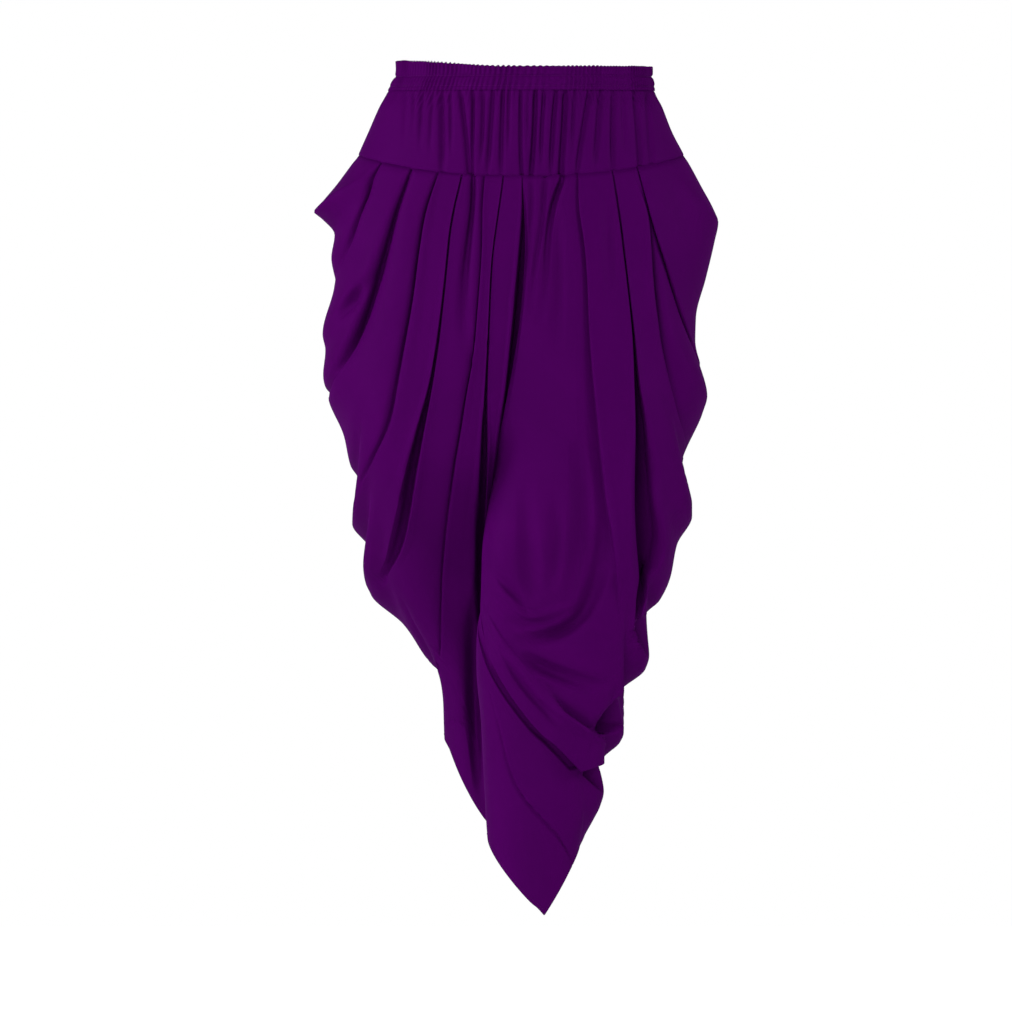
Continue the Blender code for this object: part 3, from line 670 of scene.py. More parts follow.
# %% Folds of the left leg
LEFT_FOLDS = (
    ("trough", 0, False, (
        (9, 119, 5, 2, 0), (9, 152, 5, 4, 0), (6, 190, 6, 3, 0), (2, 230, 8, 1, 0))),
    ("trough", 0, False, (
        (24, 119, 5, 4, 0), (20.5, 165, 5, 5, 0), (14, 207, 5, 4, 0), (9, 253, 6, 1, 0))),
    ("trough", 0, False, (
        (45, 116, 3, 11, 0), (35, 139, 4, 12, 0), (29, 165, 5, 11, 0), (25.5, 197, 6, 8, 0),
        (24, 230, 7, 4, 0), (20.5, 269, 8, 1, 0))),
    ("trough", 0, False, (
        (37, 150, 8, 0, 0), (38, 190, 10, 4, 0), (38, 250, 11, 4, 0), (36, 315, 12, 0, 0))),
    ("lap", 1, False, (
        (60, 121, 4, 3, 1), (60, 155, 5, 4, 2), (65, 181, 6, 5, 2), (69.4, 230, 7, 5, 3),
        (71, 279, 9, 5, 3), (74.3, 328, 11, 6, 3), (79, 376, 13, 7, 3), (83.5, 425, 15, 8, 3),
        (88.5, 470, 16, 8, 3), (95.5, 512, 16, 7, 2), (99.5, 546, 14, 4, 1),
        (103, 590, 12, 1, 0))),
    ("trough", 0, False, (
        (92, 135, 8, 1, 0), (92, 170, 9, 4, 0), (93, 215, 9, 4, 0), (96, 260, 9, 0, 0))),
    ("valley", 0, False, (
        (98, 120, 1.5, 4, 0), (103.6, 155, 2, 8, 0), (110, 207, 2, 12, 0),
        (115.5, 253, 2, 16, 0), (120, 295, 3, 24, 0), (123.5, 347, 6, 32, 0),
        (127.5, 382, 11, 34, 0), (129, 425, 15, 36, 0), (131, 470, 20, 40, 0),
        (136, 523, 24, 44, 0), (136.5, 545, 25, 42, 0), (134, 560, 20, 32, 0),
        (129, 573, 11, 20, 0), (125.5, 584, 4, 10, 0), (124, 604, 3, 7, 0))),
    ("lap", -1, True, (
        (120, 118, 1.5, 0, 0), (127, 136, 3, 1, 0), (134.5, 149, 5, 4, 1),
        (138, 181, 8, 8, 2), (139.4, 214, 10, 10, 3), (144, 253, 12, 12, 3),
        (149, 295, 14, 13, 3), (157, 334, 15, 13, 3), (167, 376, 15, 10, 2),
        (177, 412, 12, 4, 1), (181, 430, 8, 1, 0))),
    ("knife", 1, True, (
        (126.4, 119, 2, 5, 1), (131.3, 139, 3, 8, 1), (138, 165, 4, 12, 2),
        (147.6, 194, 6, 15, 3), (157.3, 223, 8, 16, 3), (167, 253, 9, 14, 3),
        (177, 282, 9, 10, 2), (186.6, 308, 8, 6, 1), (195, 330, 6, 2, 0))),
    ("trough", 0, True, (
        (152, 109, 5, 5, 0), (164, 132, 7, 10, 0), (170, 155, 10, 9, 0), (183, 184, 12, 3, 0),
        (192, 205, 12, 0, 0))),
)
print(len(LEFT_FOLDS), "pleats on the left leg")

# %% [markdown]
# Round the left knee the panel is pulled towards the wrap line. It hangs there in curved
# swags, with a ridge above each hollow, and the last of them lap over each other.

# %% Creases of the left leg
LEFT_CREASES = (
    ("trough", 0, False, (
        (2, 440, 12, 0, 0), (4, 490, 14, 5, 0), (6, 530, 14, 7, 0), (10, 565, 12, 3, 0))),
    ("trough", 0, False, (
        (58, 400, 12, 0, 0), (62, 450, 14, 7, 0), (62, 510, 15, 11, 0), (58, 550, 14, 8, 0),
        (50, 580, 10, 1, 0))),
    ("trough", 0, False, (
        (34, 450, 10, 0, 0), (36, 500, 11, 5, 0), (34, 545, 10, 5, 0), (30, 570, 8, 0, 0))),
    ("trough", 0, False, (
        (-30, 548, 5, 1, 0), (-16, 560, 7, 6, 0), (-4, 574, 7, 7, 0), (1, 585, 4, 2, 0))),
    ("ridge", 0, False, (
        (-27, 563, 5, 1, 0), (-14, 577, 6, 5, 0), (-3, 592, 6, 7, 0), (13, 595, 6, 7, 0),
        (29, 592, 6, 6, 0), (46, 585, 6, 4, 0), (58, 580, 6, 1, 0))),
    ("trough", 0, False, (
        (-19, 597, 5, 0.5, 0), (-1, 603, 5, 3, 0), (13, 602, 5, 4, 0), (33, 599, 5, 1, 0))),
    ("ridge", 0, False, (
        (-3, 613, 6, 1, 0), (14, 609, 6, 4, 0), (35, 604, 6, 4, 0), (52, 595, 6, 3, 0),
        (61, 586, 6, 1, 0))),
    ("trough", 0, False, (
        (84, 490, 14, 2, 0), (82, 530, 17, 11, 0), (78, 558, 18, 15, 0), (70, 582, 17, 15, 0),
        (57, 600, 14, 14, 0), (40, 612, 12, 13, 0), (19, 618, 10, 10, 0), (4, 621, 8, 2, 0))),
    ("trough", 0, False, (
        (-3, 634, 7, 1, 0), (13, 645, 10, 11, 0), (31, 654, 12, 13, 0), (48, 662, 13, 12, 0),
        (66, 669, 13, 8, 0), (84, 671, 12, 3, 0), (98, 668, 10, 0, 0))),
    ("ridge", 0, False, (
        (9, 654, 5, 1, 0), (35, 666, 6, 5, 0), (58, 673, 6, 2, 0))),
    ("ridge", 0, False, (
        (-42, 588, 5, 2, 0), (-35, 604, 5, 4, 0), (-25, 623, 6, 6, 0), (-12, 639, 6, 7, 0),
        (3, 655, 6, 7, 0), (20, 677, 6, 6, 0), (33, 692, 6, 6, 0), (51, 705, 6, 5, 0),
        (73, 717, 6, 4, 0), (88, 728, 6, 3, 0))),
    ("trough", 0, False, (
        (-20, 634, 5, 1, 0), (-13, 650, 5, 4, 0), (-2, 666, 5, 5, 0), (8, 679, 5, 5, 0),
        (19, 690, 5, 5, 0), (31, 702, 5, 3, 0), (41, 714, 5, 0, 0))),
    ("lap", -1, False, (
        (31, 676, 4, 2, 1), (35, 688, 6, 8, 2), (46, 699, 7, 11, 2), (62, 709, 8, 13, 3),
        (74, 716, 8, 11, 2), (88, 727, 6, 7, 1))),
    ("trough", 0, False, (
        (48, 746, 4, 0, 0), (55, 742, 5, 3, 0), (61, 738, 4, 0, 0))),
)
print(len(LEFT_CREASES), "creases on the left leg")

# %% [markdown]
# Where a swag hangs clear of the one below, its inside shows as a dark pocket. A pocket's
# row gives how deep the cloth sinks, the width of its soft rim, and its outline in reach
# and depth. The petal has one of them, and one long pressed line that crosses it. The last
# numbers make the folds of the back wider, gentler and a little out of step with the
# front's, as no two pleats of a draped panel are alike.

# %% Pockets, the petal's line and the folds of the back
LEFT_POCKETS = (
    (42, 4, ((73.8, 717.5), (82, 704), (91, 693), (103, 681), (115, 675), (118, 704),
             (106, 717), (97, 721), (84, 723))),
    (30, 4, ((122, 600), (131, 593), (146, 590), (146, 640), (134, 636), (126, 619),
             (123, 608))),
)
PETAL_POCKETS = (
    (40, 4, ((64, 766), (70, 750), (84, 742), (98, 742), (98, 790), (87, 786))),
)
PETAL_CREASES = (
    ("lap", 1, False, (
        (-34, 681, 3, 1.2, 1), (-24, 718, 3.5, 2.0, 1), (-17, 750, 3.5, 2.4, 1),
        (-9, 775, 3.5, 2.8, 2), (5, 796, 3.5, 3.0, 2), (24, 815, 3.5, 3.0, 2),
        (42, 837, 3.5, 2.6, 1), (52, 858, 3, 1.6, 0))),
)
# The folds of the back, against those of the front.
BACK_SCALE = 0.97
BACK_SHIFT = 5.0
BACK_DEPTH = 0.7
BACK_WIDTH = 10.0
BACK_STEEPEST = 1.1
# A fold that starts this near the seam is drawn on past it.
NEAR_SEAM = 4.0
PAST_SEAM = 16.0
print(len(LEFT_POCKETS) + len(PETAL_POCKETS), "pockets at the left side")

# %% [markdown]
# A fold is drawn by a few points but has to run smoothly, so its path becomes a line with a
# point every few millimetres. It is drawn on the unrolled cloth, where distances are true.
# A fold that wraps joins its two ends round the side with a sagging line, the swag.


# %% Folds as lines on the unrolled cloth
LINE_STEP = 4.0
LINE_PASSES = 24
SWAG_SAG = 0.18
END_FADE = 26.0
SIDE_SHARE = 0.55


def fold_list(rows):
    """The rows of a table of folds, each with named columns."""
    folds = [dict(zip(FOLD_COLUMNS.split(), row)) for row in rows]
    for fold in folds:
        fold["path"] = np.array(fold["path"], dtype=float)
    return folds


def soft_line(points):
    """Closely spaced points on a smooth curve through the points given."""
    long = np.linalg.norm(np.diff(points[:, :2], axis=0), axis=1)
    long = np.concatenate([[0], np.cumsum(long)])
    at = np.linspace(0, long[-1], max(8, int(long[-1] / LINE_STEP)))
    tangent = np.gradient(points, long, axis=0)
    i = np.clip(np.searchsorted(long, at, side="right") - 1, 0, len(long) - 2)
    step = (long[i + 1] - long[i])[:, None]
    t = (at - long[i])[:, None] / step
    return cubic(t, step, points[i], points[i + 1], tangent[i], tangent[i + 1])


def face_path(fold, number, facing):
    """The path of a fold on the front (-1) or on the back (+1) of a leg.

    A pleat that starts at the seam is drawn on past it, so that it meets the seam squarely.
    """
    path = fold["path"].copy()
    if facing > 0:
        path[:-1, 0] = BACK_SCALE * path[:-1, 0] + BACK_SHIFT * np.sin(2.1 * number + 0.6)
        path[:, 2] = np.maximum(path[:, 2], BACK_WIDTH)
        path[:, 3] = np.minimum(path[:, 3], BACK_STEEPEST * path[:, 2])
    if path[0, 1] < SEAM_AT_SIDE + SEAM_DROP + NEAR_SEAM:
        first = path[0].copy()
        start = path[0, :2] - path[1, :2]
        first[:2] += start * PAST_SEAM / np.linalg.norm(start)
        path = np.concatenate([[first], path])
    return relax_line(soft_line(path), LINE_PASSES)


def unrolled(form, path, facing):
    """A path on one face of a leg with its reach turned into a run on the unrolled cloth."""
    path[:, 0] = form.run_at(path[:, 1], facing * form.angle_of(path[:, 0], path[:, 1]))
    return path


def fold_line(form, fold, number):
    """Lines of a fold on the unrolled cloth: run, depth, width, fold depth and overlap."""
    front = unrolled(form, face_path(fold, number, -1), -1)
    back = unrolled(form, face_path(fold, number, 1), 1)
    if not fold["wraps"]:
        return [front, back]
    gap = back[-1] - front[-1]
    long = np.linalg.norm(gap[:2])
    t = (np.arange(max(2, int(long / LINE_STEP))) + 0.5)[:, None]
    t = t / len(t)
    join = front[-1] + gap * t
    join[:, [1]] += SWAG_SAG * long * 4 * t * (1 - t)
    return [relax_line(np.concatenate([front, join, back[::-1]]), LINE_PASSES)]


def nearest_on_line(line, run, depth, far):
    """The nearest place on a line for each point near it.

    The signed distance is positive on the side of the line that the leg's side lies on.
    """
    near = ((run > line[:, 0].min() - far) & (run < line[:, 0].max() + far)
            & (depth > line[:, 1].min() - far) & (depth < line[:, 1].max() + far))
    index = np.nonzero(near)[0]
    px, py = run[index][:, None], depth[index][:, None]
    ax, ay = line[:-1, 0], line[:-1, 1]
    dx, dy = np.diff(line[:, 0]), np.diff(line[:, 1])
    length = np.maximum(np.hypot(dx, dy), 0.01)
    t = ((px - ax) * dx + (py - ay) * dy) / length ** 2
    held = np.clip(t, 0, 1)
    gap = np.hypot(px - ax - held * dx, py - ay - held * dy)
    best = np.argmin(gap, axis=1)
    row = np.arange(len(index))
    t, held = t[row, best], held[row, best]
    dx, dy, length = dx[best], dy[best], length[best]
    side = ((px[:, 0] - ax[best]) * dy - (py[:, 0] - ay[best]) * dx) / length
    sizes = line[best, 2:] + held[:, None] * (line[best + 1, 2:] - line[best, 2:])
    past = np.where(best == 0, np.maximum(-t, 0), 0) * length
    past = past + np.where(best == len(line) - 2, np.maximum(t - 1, 0), 0) * length
    return index, side, sizes.T, past, dx / length, dy / length


print("folds are sampled every", LINE_STEP, "mm")

# %% [markdown]
# Every point of a panel looks for the nearest place on each fold and takes its profile from
# there. Sideways moves stay on the cloth and carry a lip over its crease. Lifts are added
# up, so folds may run into each other. A lip stays low, because real crepe is thin, while a
# crease may go as deep as its row says.


# %% Move the cloth by its folds
HIGHEST_LIP = 2.4
LIP_GROWTH = 0.1


def apply_folds(form, folds, depth, angle):
    """Sideways moves and lift of every point of a panel from its folds."""
    shape = depth.shape
    flat_depth, flat_angle = depth.ravel(), angle.ravel()
    run = form.run_at(flat_depth, flat_angle)
    moves = np.zeros((3, depth.size))
    for number, fold in enumerate(folds):
        profile = PROFILES[fold["kind"]]
        lip = fold["lip"] or 1
        for line in fold_line(form, fold, number):
            widest = np.abs(profile["place"]).max() * line[:, 2].max()
            index, side, (width, deep, over), past, dx, dy = nearest_on_line(
                line, run, flat_depth, widest)
            fade = 1 - ease(past / END_FADE)
            fade = fade * np.where(flat_angle[index] > 0, BACK_DEPTH, 1.0)
            place = side * lip / width
            lift = deep * smooth_curve(profile["place"], profile["lift"], place)
            lift = fade * np.minimum(lift, HIGHEST_LIP + LIP_GROWTH * lift)
            shift = over * fade * lip * smooth_curve(profile["place"], profile["shift"], place)
            lift = lift * (1 - (1 - SIDE_SHARE) * side_weight(flat_angle[index]))
            moves[0, index] += shift * dy
            moves[1, index] -= shift * dx
            moves[2, index] += lift
    return moves.reshape(3, *shape)


print("a lip stands", HIGHEST_LIP, "mm or a little more above the panel")

# %% [markdown]
# A pocket sinks all points inside its outline. A hole cut in the panel would let the light
# through, while a sunk place lies in its own shadow, as the inside of a swag does. It fades
# towards the side, so that the outline stays whole.


# %% Sink the pockets
POCKET_FADE = 0.5


def pocket_lift(form, pockets, depth, angle):
    """Lift of the places where a swag hangs clear of the one below and shows its inside."""
    front = form.surface(depth, angle)[..., 0] * form.side
    lift = np.zeros_like(depth)
    for deep, soft, outline in pockets:
        ring = np.array(outline, dtype=float)
        start, end = ring, np.roll(ring, -1, axis=0)
        place = np.stack([front, depth], axis=-1)[..., None, :]
        along = end - start
        t = np.clip(((place - start) * along).sum(-1) / (along ** 2).sum(-1), 0, 1)
        gap = np.linalg.norm(place - start - t[..., None] * along, axis=-1).min(-1)
        crosses = ((start[:, 1] > depth[..., None]) != (end[:, 1] > depth[..., None]))
        at = start[:, 0] + (depth[..., None] - start[:, 1]) / np.where(
            along[:, 1] == 0, 1.0, along[:, 1]) * along[:, 0]
        inside = (crosses & (front[..., None] < at)).sum(-1) % 2 == 1
        lift -= np.where(inside & (angle < 0), deep * ease(gap / soft), 0)
    return lift * ease(-angle / POCKET_FADE)


print("pockets fade over", round(math.degrees(POCKET_FADE)), "degrees at the side")

# %% [markdown]
# The grid of a leg has its columns close together along the pleats, where the cloth turns
# sharply, and wider apart on the smooth panels between. An even grid would need many more
# points to show a lip 1 mm thick, and its edges would cross the pleats in steps. Where a
# pleat ends its columns drift apart again, little by little, so that none of them jumps.


# %% Columns that follow the pleats
FRONT_COLUMNS = 156
BACK_COLUMNS = 76
LEG_ROWS = 212
CROWD = 2.2
ZONE = 1.0
EDGE_PLACES = (0.0, 0.4, 0.9, 1.5, 2.2, 3.0, 4.2)
LEAST_GAP = 0.15
LOOSE_WIDTH = 9.0
NARROW = 5
FOLD_RELAX = 90.0
SPREAD_STEPS = 80
FINE_TURNS = 160
EVEN_PASSES = 3


def fold_at_rows(form, fold, number, facing, down):
    """A fold's distance from the side line and its width at each row.

    Below the end of the fold its place turns loose, little by little.
    """
    line = face_path(fold, number, facing)
    angle = np.full(len(down), np.radians(50.0))
    for _ in range(SETTLE_STEPS):
        depth = form.depth(down, angle)
        reach = np.interp(depth, line[:, 1], line[:, 0])
        angle = angle + SETTLE_SHARE * (form.angle_of(reach, depth) - angle)
    width = np.interp(depth, line[:, 1], line[:, 2])
    place = np.abs(form.run_at(depth, facing * angle))
    runs_here = depth < line[-1, 1]
    last = np.nonzero(runs_here)[0][-1]
    level = form.depth(down, 0 * angle)
    loose = ease((level - level[last]) / FOLD_RELAX) * ~runs_here
    place = np.where(runs_here, place, place[last])
    width = np.where(runs_here, width, width[last])
    return place, width + (LOOSE_WIDTH - width) * loose, loose


def guide_columns(form, folds, down, facing, edge_run):
    """Columns at the places of each fold's profile, from the inner edge to the side.

    Where a fold has turned loose its columns spread evenly between their neighbours.
    """
    guides = [(i, fold) for i, fold in enumerate(folds)
              if fold["kind"] != "trough" or fold["path"][:, 2].min() < NARROW]
    known = [fold_at_rows(form, fold, i, facing, down) for i, fold in guides]
    firm, widths, loose = (np.array(values) for values in zip(*known))
    middles = firm
    for _ in range(SPREAD_STEPS):
        inner = np.concatenate([edge_run[None], middles[:-1]])
        outer = np.concatenate([middles[1:], 0 * edge_run[None]])
        middles = firm + ((inner + outer) / 2 - firm) * loose
    zones = [edge_run[:, None] - np.array(EDGE_PLACES)]
    for (_, fold), middle, width in zip(guides, middles, widths):
        places = PROFILES[fold["kind"]]["place"]
        places = np.sort(places[np.abs(places) < ZONE] * (fold["lip"] or 1))
        places = places[::2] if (facing > 0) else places
        zones.append(middle[:, None] - width[:, None] * places)
    return zones + [np.zeros((len(down), 1))]


def column_angles(form, folds, down, facing, total, crowded):
    """Angles of the columns over one face of a leg, from its inner edge to its side.

    The first few spans between two folds can be crowded with more columns.
    """
    edge = form.edge_angle(down)
    fine = edge[:, None] * np.linspace(0, 1, FINE_TURNS)
    runs = np.abs(form.run_at(form.depth(down[:, None], fine), facing * fine))
    zones = guide_columns(form, folds, down, facing, runs[:, -1])
    gaps = [np.maximum(near[:, -1] - far[:, 0], 0) for near, far in zip(zones[:-1], zones[1:])]
    gaps = np.array([gap.mean() for gap in gaps])
    gaps[:crowded] *= CROWD
    spare = total - sum(zone.shape[1] for zone in zones)
    counts = np.floor(spare * gaps / gaps.sum()).astype(int)
    columns = [zones[0]]
    for near, far, count in zip(zones[:-1], zones[1:], counts):
        share = (np.arange(count) + 1) / (count + 1)
        columns.append(near[:, [-1]] + (far[:, [0]] - near[:, [-1]]) * share)
        columns.append(far)
    columns = np.concatenate(columns, axis=1)
    order = np.arange(columns.shape[1]) * LEAST_GAP
    columns = np.clip(columns + order, order[-1], runs[:, [-1]])
    down_to = np.minimum.accumulate(columns, axis=1)
    up_to = np.maximum.accumulate(columns[:, ::-1], axis=1)[:, ::-1]
    columns = relax_line((down_to + up_to) / 2, EVEN_PASSES) - order
    return np.stack([np.interp(row, run, turn) for row, run, turn in zip(columns, runs, fine)])


print("columns on a leg:", FRONT_COLUMNS, "in front and", BACK_COLUMNS, "behind")

# %% [markdown]
# Sewn edges turn in. At the yoke the panel rolls under and tucks in behind the yoke's edge.
# Its open edges between the legs roll into the crevice. Lower down, where the panel closes
# into a tube, the front edge runs on behind the back edge as a seam allowance, so no light
# comes through the seam.


# %% Edges of a leg
SEAM_TUCK = 3.0
SEAM_INSET = 2.4
SEAM_ROLL = 4.0
EDGE_ROLL = 7.0
EDGE_START = 60
EDGE_WIDTH = 3.0
UNDERLAP = 6.0
UNDERLAP_DEEP = 1.6


def edge_roll(form, depth, angle):
    """How far the open edges of a leg turn in, with a small roll, into the crevice."""
    run = form.run_at(depth, angle)
    amount = EDGE_ROLL * (1 - form.section(depth)[2])
    amount = amount * ease((depth - leg_top(angle)) / EDGE_START)
    inward = np.zeros_like(run)
    for column, facing in ((0, -1), (-1, 1)):
        edge = np.broadcast_to(angle[:, [column]], angle.shape)
        off = np.abs(run - form.run_at(depth, edge))
        inward -= facing * (angle * facing > 0) * amount * (1 - ease(off / EDGE_WIDTH))
    return inward


def with_underlap(form, grid, closure):
    """Adds the seam allowance of the front edge, which runs on behind the back edge."""
    under = grid[:, 0].copy()
    under[:, 0] += form.side * UNDERLAP_DEEP * closure ** 4
    under[:, 1] += SEAM + UNDERLAP * closure ** 4
    return np.concatenate([under[:, None], grid], axis=1)


print("the seam allowance is", UNDERLAP, "mm wide")

# %% [markdown]
# Now a leg is put together: columns and rows give each point its angle and depth, the folds
# move it, and the form turns it into a place in space. The left leg has its rows closer
# together in its lower part, where the swags are, and more columns over the thigh.


# %% Build the legs
TOP_SOFT = 8
TOP_LIFT = 0.6
DEEPEST_SHARE = 0.8


def row_shares(dense):
    """Shares of the way down a leg, closer together in the lower part when dense."""
    t = np.linspace(0, 1, LEG_ROWS)
    return t + dense * t * (1 - t)


def leg_grid(form, folds, creases, dense, crowded=0, pockets=()):
    """Points of a leg's outer face, row below row, from inner edge to inner edge."""
    down = row_shares(dense)
    front = column_angles(form, folds, down, -1, FRONT_COLUMNS, crowded)
    back = column_angles(form, folds, down, 1, BACK_COLUMNS, crowded)
    angle = np.concatenate([-front, back[:, -2::-1]], axis=1)
    share = down[:, None] * np.ones(angle.shape[1])
    depth = form.depth(share, angle)
    across, along, lift = apply_folds(form, folds + creases, depth, angle)
    lift = lift + pocket_lift(form, pockets, depth, angle)
    inward = edge_roll(form, depth, angle)
    turned = angle + across / form.stretch(depth, angle)
    edge = np.abs(angle[:, [0]])
    turned = np.clip(turned, -edge, edge)
    from_top = depth - leg_top(angle)
    depth = depth - SEAM_TUCK * (1 - ease(down[:, None] * LEG_ROWS / 2))
    soft_top = ease(from_top / TOP_SOFT)
    lift = lift * (TOP_LIFT + (1 - TOP_LIFT) * soft_top)
    lift = lift - SEAM_INSET * (1 - ease(from_top / SEAM_ROLL))
    thick = np.abs(form.surface(depth, turned)[..., 1] - read(form.rows, "middle", depth))
    deepest = -DEEPEST_SHARE * thick
    lift = np.where(np.abs(turned) > np.pi / 2, np.maximum(lift, deepest), lift)
    grid = form.surface(depth + along * soft_top, turned, lift)
    grid[..., 1] += inward
    closure = form.section(depth)[2]
    grid[:, 0, 1] -= SEAM / 2 * closure[:, 0] ** 4
    grid[:, -1, 1] += SEAM / 2 * closure[:, -1] ** 4
    return with_underlap(form, grid, closure[:, 0])


right_folds, left_folds = fold_list(RIGHT_FOLDS), fold_list(LEFT_FOLDS)
right_grid = leg_grid(right_form, right_folds, fold_list(RIGHT_CREASES), 0.0)
left_grid = leg_grid(left_form, left_folds, fold_list(LEFT_CREASES), 0.45, 2, LEFT_POCKETS)
leg_right = cloth_piece("leg_right_cloth", right_grid)
leg_left = cloth_piece("leg_left_cloth", left_grid, flip=True)
right_hem_stitches = stitch_row("right_hem_stitches", right_grid, -3)
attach(leg_right, "root")
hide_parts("leg_right")
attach(leg_left, "root")
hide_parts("leg_left")

# %% [markdown]
# ## The petal
#
# The petal is the lower stretch of the left leg. It comes out from under the drape along
# the wrap line and ends in a point in front, like the tip of a wrapped cloth. It could be
# one panel with the drape, but a fold that overhangs needs two layers there. So it starts
# a little higher, behind the drape, and steps in just under the drape's edge, which casts
# a thin shadow on it.

# %% Build the petal
PETAL_OVERLAP = 24.0
PETAL_TUCK = 6.0
PETAL_TUCK_LONG = 4.0
TUCK_BELOW = 5
PETAL_HEM, TIP_DROP, BACK_DROP = 836, 82, 14
TIP_TURN = np.radians(79.0)


def petal_top(angle):
    return wrap_line(angle) - PETAL_OVERLAP


def petal_hem(angle):
    """The left hem ends in a point at the front and is nearly level at the back."""
    turn = np.abs(angle)
    share = np.where(turn < TIP_TURN, turn / TIP_TURN, (np.pi - turn) / (np.pi - TIP_TURN))
    point = TIP_DROP * np.clip(share, 0, 1) ** 1.25
    return PETAL_HEM + np.where(angle < 0, point, BACK_DROP * np.sin(turn) ** 2)


def petal_grid(form):
    """Points of the petal's outer face, from its seam round to its seam."""
    cols, rows = ((241, 120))
    down = np.linspace(0, 1, rows)
    turn = np.linspace(-np.pi, np.pi, cols)
    down, angle = np.meshgrid(down, turn, indexing="ij")
    depth = form.depth(down, angle)
    across, along, lift = apply_folds(form, fold_list(PETAL_CREASES), depth, angle)
    lift = lift + pocket_lift(form, PETAL_POCKETS, depth, angle)
    below = depth - wrap_line(angle) + TUCK_BELOW
    lift -= PETAL_TUCK * (1 - ease(below / PETAL_TUCK_LONG))
    turned = np.clip(angle + across / form.stretch(depth, angle), -np.pi, np.pi)
    grid = form.surface(depth + along, turned, lift)
    grid[:, 0, 1] -= SEAM / 2
    grid[:, -1, 1] += SEAM / 2
    return with_underlap(form, grid, np.ones(rows))


petal_form = LegForm(1, PETAL, PETAL_EDGE, petal_top, petal_hem)
petal_points = petal_grid(petal_form)
petal = cloth_piece("petal_left_cloth", petal_points, flip=True)
petal_hem_stitches = stitch_row("petal_hem_stitches", petal_points, -4, flip=True)
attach(petal, "root")
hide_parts("petal_left")

# %% [markdown]
# ## The yoke
#
# The yoke is a short, fitted band in two halves. The casing above gathers its top edge, so
# fine folds fall from it and fade before they reach the seam. A repeated wave would look
# machined, so each large gather has a row of its own: where it starts under the casing and
# where it ends, how far down it runs, its depth and its width. A reach of -127 is near the
# wearer's right side.

# %% Tables of the yoke
TORSO_COLUMNS = "depth right left front back"
TORSO = (
    (-8, 137, 138, 97, 96),
    (0, 137, 139, 98, 97),
    (25, 146, 142, 104, 104),
    (43, 156, 151, 109, 112),
    (70, 168, 162, 114, 122),
    (97, 180, 176, 118, 130),
    (120, 190, 186, 120, 137),
)
GATHER_COLUMNS = "top end depth groove width"
GATHERS = (
    (-127, -131, 80, 2.5, 3.0),
    (-118, -122, 70, 2.0, 2.2),
    (-109, -113, 88, 3.5, 2.6),
    (-98, -101, 95, 2.5, 2.6),
    (-88, -88, 122, 5.0, 3.6),
    (-79, -76, 95, 3.0, 2.4),
    (-68, -57, 138, 5.0, 2.6),
    (-54.3, -54, 150, 6.0, 1.8),
    (-43, -46, 108, 4.0, 2.4),
    (-32, -40, 120, 5.0, 2.8),
    (-22, -23.5, 122, 5.5, 2.6),
    (-15, -16, 92, 3.0, 2.0),
    (-3, -1.5, 150, 7.5, 1.6),
    (5, 4, 88, 2.5, 2.0),
    (13.5, 9.5, 132, 8.5, 2.6),
    (23, 18, 108, 5.0, 2.2),
    (36, 28, 120, 6.5, 2.6),
    (46, 42, 146, 8.0, 3.2),
    (56, 50, 98, 3.5, 2.4),
    (72, 58, 128, 5.5, 2.8),
    (84, 78, 112, 5.0, 2.8),
    (98, 97, 122, 5.0, 2.6),
    (108, 110, 88, 2.5, 2.4),
    (121, 129, 130, 5.0, 2.6),
    (135, 142, 120, 4.0, 3.0),
)
print(len(GATHERS), "large gathers on each half of the yoke")

# %% [markdown]
# The body of the garment above the legs is one rounded section at each depth. The yoke and
# the casing both take their points from it, so they meet at the same line.


# %% The body above the legs
def torso_points(depth, angle, lift):
    """Points on the body of the garment above the legs, moved out by "lift".

    The angle runs from 0 at the wearer's left over the front at -90 degrees.
    """
    torso = table(TORSO_COLUMNS, TORSO)
    left, right = read(torso, "left", depth), read(torso, "right", depth)
    front, back = read(torso, "front", depth), read(torso, "back", depth)
    half = (left + right) / 2
    deep = np.where(np.sin(angle) < 0, front, back)
    x = (left - right) / 2 + half * round_cos(angle)
    y = np.sign(np.sin(angle)) * round_sin(angle) * deep
    out_x, out_y = np.cos(angle), np.sin(angle) * half / deep
    size = np.hypot(out_x, out_y)
    return np.stack([x + lift * out_x / size, y + lift * out_y / size,
                     -np.broadcast_to(depth, x.shape)], axis=-1)


half_waist = torso_points(np.zeros(181), np.linspace(0, np.pi, 181), 0.0)
half_waist = np.linalg.norm(np.diff(half_waist, axis=0), axis=1).sum()
print("half round the waist:", round(float(half_waist)), "mm")

# %% [markdown]
# Each gather is a groove along a line that wanders a little on its way down. Between the
# large ones the elastic makes many small, uneven gathers, which a sum of slow waves keeps
# from repeating. The yoke's top edge goes on up behind the casing, and the back half runs
# on under the front half at the side seams.


# %% Build the yoke
WAIST_GATHERS = 168
SMALL_GATHER, SMALL_GATHER_LONG = 0.8, 34
WANDER, WANDER_TURNS = 1.3, 3.2
GATHER_END, GATHER_FADE = 34, 44
GATHER_START, GATHER_GROW = 6, 16
YOKE_TUCK = 9.0
YOKE_UNDERLAP = 0.05
YOKE_INSET = 1.2
SIDE_RADIUS = 110.0
SIDE_STRIP = 0.02


